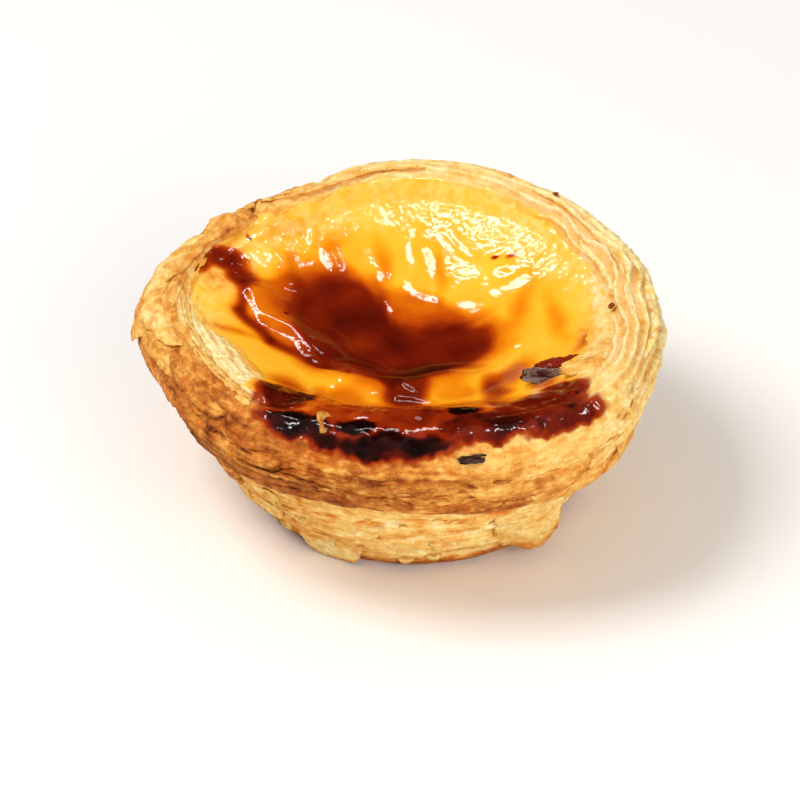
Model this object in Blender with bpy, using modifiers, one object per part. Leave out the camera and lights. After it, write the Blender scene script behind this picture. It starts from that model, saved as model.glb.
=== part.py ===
"""A Portuguese custard tart: a flaky pastry case and its sunken baked custard.

The case is a turned profile: a cup that the tin shaped, a band that rose over
the tin's lip and swelled outwards, a rounded rim, and the hollow that the
custard fills. Baking leaves it uneven, so one function moves every turned
point the same way in the case and in the custard, and the two stay nested.

The origin is the middle of the flat underside. +Z is up, -Y is the side with
the scorched rim, and lengths are in metres.
"""

import math

import bpy
import numpy as np

MM = 0.001

# Driving dimensions
BASE_RADIUS = 23.2 * MM
BASE_THICKNESS = 3.0 * MM
LIP_RADIUS = 33.9 * MM
LIP_HEIGHT = 18.4 * MM
BAND_RADIUS = 38.6 * MM
BAND_HEIGHT = 26.0 * MM
RIM_RADIUS = 35.0 * MM
RIM_HEIGHT = 31.7 * MM
CUSTARD_RADIUS = 31.6 * MM
CUSTARD_HEIGHT = 29.6 * MM
CUSTARD_DEPTH = 9.3 * MM
CONTACT_GAP = 0.3 * MM

# How the oven left it uneven
RIM_TILT = 2.6 * MM
RIM_HIGH_SIDE = math.radians(74)
OVAL = 0.004
BASE_SHIFT = 1.6 * MM
# Each swelling or dent: how far outwards, at which angle, how wide in radians
SWELLINGS = (
    (2.5 * MM, math.radians(-42), 0.50),
    (-0.9 * MM, math.radians(-4), 0.35),
    (-1.4 * MM, math.radians(30), 0.42),
    (-1.0 * MM, math.radians(116), 0.28),
    (-1.4 * MM, math.radians(136), 0.40),
    (0.6 * MM, math.radians(174), 0.25),
    (-1.2 * MM, math.radians(210), 0.34),
)
# The band hangs lower over the lip here: how far, at which angle, how wide in radians
DROOP = (2.8 * MM, math.radians(-50), 0.50)
# The scorched front puffed up behind the rim: how far, at which angle, how wide in radians
PUFF = (4.4 * MM, math.radians(-88), math.radians(50))
# The radii where that hump starts, stands highest and ends, and the heights between which
# it fades in, so that only the top of the custard and the rim rise
PUFF_RADII = (15.0 * MM, 28.5 * MM, 38.0 * MM)
PUFF_LEVELS = (19.0 * MM, 23.0 * MM)
# Each ripple: waves round the tart, height, phase
RIPPLES = ((5, 0.28 * MM, 0.7), (8, 0.22 * MM, 2.1), (13, 0.14 * MM, 4.4))

# The fold that the sinking custard left in front of its deepest point
FOLD_DISTANCE = 11.0 * MM
FOLD_HEIGHT = 3.2 * MM
FOLD_WIDTH = 4.8 * MM
DEEPEST = (0.5 * MM, 1.0 * MM)

CASE_SEGMENTS = 84
CUSTARD_SEGMENTS = 72
CUSTARD_RINGS = 15


def smooth_step(low, high, value):
    """0 below low, 1 above high, and an S curve in between. low may be the larger one."""
    share = np.clip((value - low) / (high - low), 0.0, 1.0)
    return share * share * (3.0 - 2.0 * share)


def bump(angle, centre, width):
    """A bell of height 1 round the tart, centred on an angle, in radians."""
    apart = np.angle(np.exp(1j * (angle - centre)))
    return np.exp(-((apart / width) ** 2))


def remove_all_objects():
    for obj in list(bpy.data.objects):
        bpy.data.objects.remove(obj, do_unlink=True)


def make_material(name, colour, roughness):
    material = bpy.data.materials.new(name)
    material.use_nodes = True
    shader = material.node_tree.nodes["Principled BSDF"]
    shader.inputs["Base Color"].default_value = (*colour, 1.0)
    shader.inputs["Roughness"].default_value = roughness
    shader.inputs["Metallic"].default_value = 0.0
    return material


def turned(name, profile, segments, collection):
    """Turns (radius, height) pairs round Z. The outer side runs from top to bottom."""
    outline = bpy.data.meshes.new(name + "_profile")
    outline.from_pydata(
        [(radius, 0.0, height) for radius, height in profile],
        [(i, i + 1) for i in range(len(profile) - 1)],
        [],
    )
    source = bpy.data.objects.new(name + "_profile", outline)
    collection.objects.link(source)
    screw = source.modifiers.new("Turn", "SCREW")
    screw.axis = "Z"
    screw.steps = segments
    screw.render_steps = segments
    screw.use_merge_vertices = True
    screw.merge_threshold = 0.00001
    depsgraph = bpy.context.evaluated_depsgraph_get()
    mesh = bpy.data.meshes.new_from_object(source.evaluated_get(depsgraph))
    bpy.data.objects.remove(source, do_unlink=True)
    obj = bpy.data.objects.new(name, mesh)
    collection.objects.link(obj)
    return obj


def read_points(obj):
    points = np.empty(len(obj.data.vertices) * 3, np.float32)
    obj.data.vertices.foreach_get("co", points)
    return points.reshape(-1, 3).astype(float)


def write_points(obj, points):
    obj.data.vertices.foreach_set("co", points.astype(np.float32).ravel())
    obj.data.update()


def bake_unevenly(points):
    """Moves turned points as the oven did: above the tin's lip the pastry leans, swells
    and ripples freely, and below it the cup only narrows to a base that sits off centre.
    The band hangs over the lip, lowest at the front right, and the front puffs up."""
    x, y, z = points.T
    angle = np.arctan2(y, x)
    radius = np.hypot(x, y)
    free = smooth_step(LIP_HEIGHT - 0.5 * MM, LIP_HEIGHT + 3.5 * MM, z)
    outer = smooth_step(0.5 * RIM_RADIUS, RIM_RADIUS, radius)
    rise, centre, width = PUFF
    start, top, end = PUFF_RADII
    hump = smooth_step(start, top, radius) * smooth_step(end, top, radius)
    puff = rise * bump(angle, centre, width) * hump * smooth_step(*PUFF_LEVELS, z)
    swell = OVAL * radius * np.cos(2 * angle)
    for height, centre, width in SWELLINGS:
        swell += height * bump(angle, centre, width) * outer
    for waves, height, phase in RIPPLES:
        swell += height * np.sin(waves * angle + phase) * outer
    radius = radius + swell * (0.25 + 0.75 * free)
    moved = np.stack([radius * np.cos(angle), radius * np.sin(angle), z], axis=1)
    low = 1.0 - smooth_step(0.0, LIP_HEIGHT, z)
    moved[:, 0] += BASE_SHIFT * (low - 1.0)
    tilt = RIM_TILT * radius / RIM_RADIUS * np.cos(angle - RIM_HIGH_SIDE)
    moved[:, 2] += tilt * smooth_step(LIP_HEIGHT, RIM_HEIGHT, z) + puff
    drop, centre, width = DROOP
    near_lip = smooth_step(0.4 * LIP_HEIGHT, LIP_HEIGHT, z)
    near_lip *= 1.0 - smooth_step(LIP_HEIGHT, BAND_HEIGHT, z)
    moved[:, 2] -= drop * bump(angle, centre, width) * near_lip * outer
    return moved


def custard_dip(x, y):
    """How far the custard has sunk below its edge, at points of the plan: a bowl that is
    deepest near the middle, less the curved fold that stands in front of that."""
    across = np.hypot(x - DEEPEST[0], y - DEEPEST[1]) / CUSTARD_RADIUS
    bowl = CUSTARD_DEPTH * np.clip(1.0 - across**1.6, 0.0, 1.0)
    along = np.arctan2(-y, x)
    front = smooth_step(0.15, 0.9, np.sin(along))
    fold = np.exp(-(((np.hypot(x, y) - FOLD_DISTANCE) / FOLD_WIDTH) ** 2))
    return bowl - FOLD_HEIGHT * front * fold


def build_case(collection):
    """The pastry case: hollow first, up its inside, over the rim, and down its outside."""
    inside = [
        (0.0, BASE_THICKNESS),
        (0.87 * BASE_RADIUS, BASE_THICKNESS),
        (1.00 * BASE_RADIUS, BASE_THICKNESS + 1.7 * MM),
        (26.6 * MM, 12.0 * MM),
        (29.0 * MM, 20.0 * MM),
        (CUSTARD_RADIUS - 0.7 * MM, 26.6 * MM),
        (CUSTARD_RADIUS, CUSTARD_HEIGHT),
    ]
    rim = [
        (32.5 * MM, RIM_HEIGHT - 1.1 * MM),
        (33.6 * MM, RIM_HEIGHT - 0.3 * MM),
        (RIM_RADIUS, RIM_HEIGHT),
        (36.6 * MM, RIM_HEIGHT - 0.7 * MM),
        (37.8 * MM, RIM_HEIGHT - 2.2 * MM),
    ]
    band = [
        (BAND_RADIUS, BAND_HEIGHT + 1.6 * MM),
        (BAND_RADIUS - 0.5 * MM, BAND_HEIGHT - 1.4 * MM),
        (BAND_RADIUS - 1.7 * MM, LIP_HEIGHT + 3.0 * MM),
        (BAND_RADIUS - 3.1 * MM, LIP_HEIGHT + 0.9 * MM),
        (LIP_RADIUS, LIP_HEIGHT),
    ]
    cup = [
        (LIP_RADIUS - 0.6 * MM, LIP_HEIGHT - 1.4 * MM),
        (31.3 * MM, 12.4 * MM),
        (28.4 * MM, 7.0 * MM),
        (25.7 * MM, 3.2 * MM),
        (BASE_RADIUS + 1.4 * MM, 1.0 * MM),
        (BASE_RADIUS, 0.0),
        (0.0, 0.0),
    ]
    case = turned("pastry_case", inside + rim + band + cup, CASE_SEGMENTS, collection)
    write_points(case, bake_unevenly(read_points(case)))
    case.data.materials.append(make_material("baked_pastry", (0.72, 0.42, 0.16), 0.6))
    return case


def build_custard(collection):
    """The custard: a sunken top out to its edge, and sides that follow the hollow."""
    edge = CUSTARD_RADIUS - CONTACT_GAP
    top = [
        (edge * ring / CUSTARD_RINGS, CUSTARD_HEIGHT) for ring in range(CUSTARD_RINGS + 1)
    ]
    sides = [
        (CUSTARD_RADIUS - 0.7 * MM - CONTACT_GAP, 26.6 * MM),
        (29.0 * MM - CONTACT_GAP, 20.0 * MM),
        (26.6 * MM - CONTACT_GAP, 12.0 * MM),
        (BASE_RADIUS - CONTACT_GAP, BASE_THICKNESS + 1.7 * MM + CONTACT_GAP),
        (0.87 * BASE_RADIUS - CONTACT_GAP, BASE_THICKNESS + CONTACT_GAP),
        (0.0, BASE_THICKNESS + CONTACT_GAP),
    ]
    custard = turned("custard", top + sides, CUSTARD_SEGMENTS, collection)
    points = read_points(custard)
    on_top = points[:, 2] > CUSTARD_HEIGHT - 0.01 * MM
    dip = np.where(on_top, custard_dip(points[:, 0], points[:, 1]), 0.0)
    moved = bake_unevenly(points)
    moved[:, 2] -= dip
    write_points(custard, moved)
    custard.data.materials.append(make_material("custard", (0.85, 0.45, 0.03), 0.2))
    return custard


def main():
    remove_all_objects()
    tart = bpy.data.collections.new("portuguese_custard_tart")
    bpy.context.scene.collection.children.link(tart)
    for part in (build_case(tart), build_custard(tart)):
        part.data.shade_smooth()
        part.data.set_sharp_from_angle(angle=math.radians(60))


main()
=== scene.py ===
"""Looks of a Portuguese custard tart: its flaky case, its baked custard and what lies on them.

Every size is in millimetres until a mesh is made. Shapes are first worked out on a plan that
is round: its origin is the axis of the tin, +Y is the back, and a point is given by its angle
round the tart and its radius. The oven then moves every point as it moved the CAD model's, so
the pieces fit where the model's own solids are.
"""

import itertools
import logging
import math
from dataclasses import dataclass, field
from enum import Enum

import bpy
import numpy as np
from mathutils import Euler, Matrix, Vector


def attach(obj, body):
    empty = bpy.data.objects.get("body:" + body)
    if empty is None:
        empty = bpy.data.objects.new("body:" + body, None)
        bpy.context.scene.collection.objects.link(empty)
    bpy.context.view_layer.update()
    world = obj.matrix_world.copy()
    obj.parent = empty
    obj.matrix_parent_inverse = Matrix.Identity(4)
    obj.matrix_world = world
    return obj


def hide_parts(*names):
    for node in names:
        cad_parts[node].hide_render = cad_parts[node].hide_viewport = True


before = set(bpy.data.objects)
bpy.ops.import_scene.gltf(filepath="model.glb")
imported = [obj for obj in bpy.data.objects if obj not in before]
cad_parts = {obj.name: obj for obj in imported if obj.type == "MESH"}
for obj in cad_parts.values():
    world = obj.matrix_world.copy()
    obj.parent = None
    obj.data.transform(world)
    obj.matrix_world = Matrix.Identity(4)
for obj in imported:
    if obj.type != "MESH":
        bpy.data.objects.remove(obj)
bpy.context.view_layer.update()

MM = 0.001
BODY = "root"
Array = np.ndarray
Stops = tuple[tuple[float, tuple[float, float, float]], ...]
Marks = dict[str, Array]
Pairs = tuple[tuple[float, float], ...]

log = logging.getLogger("custard_tart")


# --------------------------------------------------------------------------------------
# Curves and relief, worked out as whole arrays
# --------------------------------------------------------------------------------------


def smooth_step(low: float, high: float, value: Array) -> Array:
    """An S curve: 0 below low, 1 above high. low may be the larger of the two.

    Args:
        low: Where the curve leaves 0.
        high: Where the curve reaches 1.
        value: Any array.

    Returns:
        An array of the same shape, from 0 to 1.
    """
    share = np.clip((value - low) / (high - low), 0.0, 1.0)
    return share * share * (3.0 - 2.0 * share)


def bell(angle: Array, centre: float, width: float) -> Array:
    """A bell of height 1 round the tart: exp(-(distance / width)²), the distance on the circle.

    Args:
        angle: Angles in radians.
        centre: The bell's middle, in radians.
        width: Its half width, in radians.

    Returns:
        The bell's height at each angle.
    """
    apart = np.angle(np.exp(1j * (angle - centre)))
    return np.exp(-((apart / width) ** 2))


def soft_maximum(*tones: Array) -> Array:
    """The largest tone, rounded where two cross: the fifth root of the sum of fifth powers."""
    return sum(np.clip(tone, 0.0, None) ** 5 for tone in tones) ** 0.2


def around(angle: Array, *stations: tuple[float, float]) -> Array:
    """A value that changes smoothly round the tart between stations.

    Args:
        angle: Angles in radians.
        stations: Pairs of an angle in degrees and the value there.

    Returns:
        The value at each angle, joined by half cosine waves.
    """
    places, values = np.array(sorted((place % 360.0, value) for place, value in stations)).T
    turned = np.degrees(angle) % 360.0
    after = np.searchsorted(places, turned) % len(places)
    before = (after - 1) % len(places)
    gap = (places[after] - places[before]) % 360.0
    share = ((turned - places[before]) % 360.0) / gap
    share = 0.5 - 0.5 * np.cos(np.pi * np.clip(share, 0.0, 1.0))
    return values[before] * (1.0 - share) + values[after] * share


def through(points: Pairs, share: Array) -> Array:
    """A smooth path through points: a Catmull-Rom curve, read at shares of its length.

    Args:
        points: The path's own points.
        share: Shares of the whole length, from 0 to 1.

    Returns:
        An array of one row for each share.
    """
    knots = np.array(points, float)
    spans = len(knots) - 1
    padded = np.concatenate([knots[[0]], knots, knots[[-1]], knots[[-1]]])
    fine = np.linspace(0.0, spans, spans * 40 + 1)
    first = np.minimum(fine.astype(int), spans - 1)
    t = (fine - first)[:, None]
    a, b, c, d = (padded[first + step] for step in range(4))
    curve = b + 0.5 * t * (c - a + t * (2 * a - 5 * b + 4 * c - d + t * (3 * (b - c) + d - a)))
    length = np.concatenate([[0.0], np.cumsum(np.linalg.norm(np.diff(curve, axis=0), axis=1))])
    where = share * length[-1]
    return np.stack([np.interp(where, length, curve[:, axis]) for axis in (0, 1)], axis=1)


CORNERS = np.array(list(itertools.product((0, 1), repeat=3)))
NEIGHBOURS = np.array(list(itertools.product((-1, 0, 1), repeat=3)))
SLOPES = np.array(
    [(x, y, 0) for x in (-1, 1) for y in (-1, 1)]
    + [(x, 0, z) for x in (-1, 1) for z in (-1, 1)]
    + [(0, y, z) for y in (-1, 1) for z in (-1, 1)]
    + [(1, 1, 0), (-1, 1, 0), (0, -1, 1), (0, -1, -1)],
    float,
)


def scramble(cells: Array, seed: int) -> Array:
    """A whole number for each lattice cell, as random as a hash makes it.

    Args:
        cells: Whole coordinates, three in the last axis.
        seed: Which of many such fields.

    Returns:
        Unsigned 32-bit numbers, one for each cell.
    """
    x, y, z = np.moveaxis(cells.astype(np.int64).astype(np.uint32), -1, 0)
    mixed = x * np.uint32(0x9E3779B1) ^ y * np.uint32(0x85EBCA77) ^ z * np.uint32(0xC2B2AE3D)
    mixed = mixed ^ np.uint32((seed * 0x27D4EB2F) & 0xFFFFFFFF)
    for shift, factor in ((15, 0x2C1B3C6D), (12, 0x297A2D39)):
        mixed = (mixed ^ (mixed >> np.uint32(shift))) * np.uint32(factor)
    return mixed ^ (mixed >> np.uint32(15))


def gradient_noise(points: Array, seed: int) -> Array:
    """Smooth noise: each lattice corner has a random slope, and they are blended by distance.

    Args:
        points: Places, in lattice cells, three in the last axis.
        seed: Which of many such fields.

    Returns:
        Values between about -1 and 1.
    """
    cell = np.floor(points)
    inside = points - cell
    fade = inside**3 * (inside * (inside * 6.0 - 15.0) + 10.0)
    total = np.zeros(points.shape[:-1])
    for corner in CORNERS:
        slope = SLOPES[scramble(cell + corner, seed) & np.uint32(15)]
        weight = np.prod(np.where(corner == 1, fade, 1.0 - fade), axis=-1)
        total += weight * np.sum((inside - corner) * slope, axis=-1)
    return total


def lumps(points: Array, size: float, seed: int, octaves: int = 1, fade: float = 0.5) -> Array:
    """Noise of a chosen grain, with finer copies of itself added at falling heights.

    Args:
        points: Places in millimetres, three in the last axis.
        size: The size of the largest lumps.
        seed: Which of many such fields.
        octaves: How many copies, each half as large as the one before.
        fade: How much lower each copy is.

    Returns:
        Values between about -1 and 1.
    """
    steps = range(octaves)
    total = sum(fade**k * gradient_noise(points * (2**k / size), seed + 17 * k) for k in steps)
    return 1.4 * total / sum(fade**k for k in steps)


def cells(points: Array, size: float, seed: int) -> tuple[Array, Array]:
    """Cell noise: one random point in each lattice cell, and the distance to the nearest.

    Args:
        points: Places in millimetres, three in the last axis.
        size: The cells' size.
        seed: Which of many such fields.

    Returns:
        The distance to the nearest point, in cells, and a random share from 0 to 1 that
        belongs to that point.
    """
    places = points / size
    cell = np.floor(places)
    nearest = np.full(points.shape[:-1], 9.0)
    owner = np.zeros(points.shape[:-1])
    for step in NEIGHBOURS:
        code = scramble(cell + step, seed)
        spot = [((code >> np.uint32(shift)) & np.uint32(1023)) / 1023.0 for shift in (0, 10, 20)]
        away = np.linalg.norm(cell + step + np.stack(spot, axis=-1) - places, axis=-1)
        closer = away < nearest
        owner = np.where(closer, (code % np.uint32(997)) / 996.0, owner)
        nearest = np.where(closer, away, nearest)
    return nearest, owner


def shingle(phase: Array, lip: float) -> Array:
    """Overlapping layers: a slow rise over each whole step of phase and a sharp fall at its end.

    Args:
        phase: Layers counted along the surface.
        lip: The share of each layer that its falling edge takes.

    Returns:
        Heights from 0 to 1.
    """
    part = phase - np.floor(phase)
    return np.where(part < 1.0 - lip, part / (1.0 - lip), (1.0 - part) / lip)


def terraces(value: Array, sharpness: float) -> Array:
    """Steps: level over most of each whole number of value, with a short slope between.

    Args:
        value: Any array, 1 for each step.
        sharpness: The share of each step that is level.

    Returns:
        Whole steps with short slopes between them.
    """
    whole = np.floor(value)
    return whole + smooth_step(sharpness, 1.0, value - whole)


# --------------------------------------------------------------------------------------
# Meshes
# --------------------------------------------------------------------------------------


class Ends(Enum):
    """How a stack of rings is closed at its first and last ring."""

    POLES = "each end ring closes in a point"
    JOINED = "the last ring leads back to the first"


@dataclass
class Rings:
    """A closed surface: a stack of rings of points, each closed round itself.

    points has the axes (ring, place on the ring, coordinate), and each mark gives every point
    a number that the finish reads.
    """

    points: Array
    ends: Ends
    marks: Marks = field(default_factory=dict)

    def corners(self) -> Array:
        """All points in one list, with the two poles last where the ends are poles."""
        listed = self.points.reshape(-1, 3)
        if self.ends is Ends.JOINED:
            return listed
        return np.concatenate([listed, self.points[[0, -1]].mean(axis=1)])

    def mark(self, name: str) -> Array:
        """One mark of all points, in the order that corners gives them."""
        values = np.broadcast_to(self.marks.get(name, 0.0), self.points.shape[:2])
        if self.ends is Ends.JOINED:
            return values.reshape(-1)
        return np.concatenate([values.reshape(-1), values[[0, -1]].mean(axis=1)])

    def faces(self) -> tuple[Array, Array]:
        """Quads between neighbouring rings, and a fan of triangles at each pole."""
        rings, places = self.points.shape[:2]
        grid = np.arange(rings * places).reshape(rings, places)
        below = grid if self.ends is Ends.JOINED else grid[:-1]
        above = np.roll(grid, -1, axis=0)[: len(below)]
        quads = [below, np.roll(below, -1, axis=1), np.roll(above, -1, axis=1), above]
        quads = np.stack(quads, axis=-1).reshape(-1, 4)
        if self.ends is Ends.JOINED:
            return quads, np.empty((0, 3), int)
        first, last = grid[0], grid[-1]
        poles = [np.full(places, grid.size), np.full(places, grid.size + 1)]
        fans = [
            np.stack([poles[0], np.roll(first, -1), first], axis=-1),
            np.stack([poles[1], last, np.roll(last, -1)], axis=-1),
        ]
        return quads, np.concatenate(fans)


def enclosed_volume(points: Array, faces: Array) -> float:
    """The signed volume inside faces: the sum of the tetrahedra that they make with the origin.

    Args:
        points: The corners.
        faces: Rows of corner numbers, possibly none.

    Returns:
        The volume, above 0 if the faces point outwards.
    """
    fan = [faces[:, [0, k, k + 1]] for k in range(1, faces.shape[1] - 1)]
    a, b, c = np.moveaxis(points[np.concatenate(fan)], 1, 0) if len(faces) else np.zeros((3, 1, 3))
    return float(np.einsum("ij,ij->", a, np.cross(b, c)) / 6.0)


def make_piece(
    name: str, parts: list[Rings], finish: bpy.types.Material, replaces: str = ""
) -> bpy.types.Object:
    """Joins closed surfaces into one object and attaches it to the body's empty.

    Args:
        name: The piece's name.
        parts: Its closed surfaces, in millimetres.
        finish: Its material.
        replaces: The CAD node that it stands for, if any.

    Returns:
        The new object, at the origin.
    """
    corners, quads, fans, start = [], [], [], 0
    for part in parts:
        points = part.corners()
        square, pointed = part.faces()
        if enclosed_volume(points, square) + enclosed_volume(points, pointed) < 0.0:
            square, pointed = square[:, ::-1], pointed[:, ::-1]
        corners.append(points)
        quads.append(square + start)
        fans.append(pointed + start)
        start += len(points)
    mesh = bpy.data.meshes.new(name)
    faces = np.concatenate(quads).tolist() + np.concatenate(fans).tolist()
    mesh.from_pydata(np.concatenate(corners) * MM, [], faces)
    for mark in sorted({mark for part in parts for mark in part.marks}):
        values = np.concatenate([part.mark(mark) for part in parts]).astype(np.float32)
        mesh.attributes.new(mark, "FLOAT", "POINT").data.foreach_set("value", values)
    mesh.shade_smooth()
    mesh.materials.append(finish)
    piece = bpy.data.objects.new(name, mesh)
    bpy.context.scene.collection.objects.link(piece)
    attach(piece, BODY)
    if replaces:
        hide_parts(replaces)
    log.info("%s: %d closed surfaces, %d faces", name, len(parts), len(faces))
    return piece


# --------------------------------------------------------------------------------------
# The oven, which makes every piece uneven in the same way
# --------------------------------------------------------------------------------------


@dataclass(frozen=True)
class Oven:
    """Moves points of the round plan as the CAD model's are moved, so that pieces nest."""

    lip_height: float = 18.4
    band_height: float = 26.0
    rim_radius: float = 35.0
    rim_height: float = 31.7
    tilt: float = 2.6
    high_side: float = math.radians(74)
    oval: float = 0.004
    base_shift: float = 1.6
    swellings: tuple[tuple[float, float, float], ...] = (
        (2.5, math.radians(-42), 0.50),
        (-0.9, math.radians(-4), 0.35),
        (-1.4, math.radians(30), 0.42),
        (-1.0, math.radians(116), 0.28),
        (-1.4, math.radians(136), 0.40),
        (0.6, math.radians(174), 0.25),
        (-1.2, math.radians(210), 0.34),
    )
    droop: tuple[float, float, float] = (2.8, math.radians(-50), 0.50)
    puff: tuple[float, float, float] = (4.4, math.radians(-88), math.radians(50))
    puff_radii: tuple[float, float, float] = (15.0, 28.5, 38.0)
    puff_levels: tuple[float, float] = (19.0, 23.0)
    ripples: tuple[tuple[int, float, float], ...] = (
        (5, 0.28, 0.7),
        (8, 0.22, 2.1),
        (13, 0.14, 4.4),
    )

    def bake(self, points: Array) -> Array:
        """Swells, leans and shifts points: freely above the tin's lip, hardly in the tin.

        The radius grows by an oval, bells and ripples of the angle. The height grows by a
        tilt, radius × cos(angle - high side), and by the scorched front's puff, a bell of the
        angle × a hump of the radius. It falls where the band hangs over the lip.

        Args:
            points: Points of the plan, three coordinates in the last axis.

        Returns:
            The baked points, in the same shape.
        """
        x, y, z = np.moveaxis(points, -1, 0)
        angle = np.arctan2(y, x)
        radius = np.hypot(x, y)
        free = smooth_step(self.lip_height - 0.5, self.lip_height + 3.5, z)
        outer = smooth_step(0.5 * self.rim_radius, self.rim_radius, radius)
        rise, centre, width = self.puff
        start, summit, end = self.puff_radii
        hump = smooth_step(start, summit, radius) * smooth_step(end, summit, radius)
        puffed = rise * bell(angle, centre, width) * hump * smooth_step(*self.puff_levels, z)
        swell = self.oval * radius * np.cos(2.0 * angle)
        for height, centre, width in self.swellings:
            swell = swell + height * bell(angle, centre, width) * outer
        for waves, height, phase in self.ripples:
            swell = swell + height * np.sin(waves * angle + phase) * outer
        radius = radius + swell * (0.25 + 0.75 * free)
        low = 1.0 - smooth_step(0.0, self.lip_height, z)
        tilt = self.tilt * radius / self.rim_radius * np.cos(angle - self.high_side)
        drop, centre, width = self.droop
        near_lip = smooth_step(0.4 * self.lip_height, self.lip_height, z)
        near_lip = near_lip * (1.0 - smooth_step(self.lip_height, self.band_height, z))
        height = z + tilt * smooth_step(self.lip_height, self.rim_height, z) + puffed
        height = height - drop * bell(angle, centre, width) * near_lip * outer
        across = radius * np.cos(angle) + self.base_shift * (low - 1.0)
        return np.stack([across, radius * np.sin(angle), height], axis=-1)


# --------------------------------------------------------------------------------------
# Finishes
# --------------------------------------------------------------------------------------


def paint(red: int, green: int, blue: int) -> tuple[float, float, float]:
    """A colour given as a painter's 0 to 255 values, as the linear values that a shader takes."""
    shares = (value / 255.0 for value in (red, green, blue))
    red, green, blue = (s / 12.92 if s <= 0.04045 else ((s + 0.055) / 1.055) ** 2.4 for s in shares)
    return red, green, blue


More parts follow.
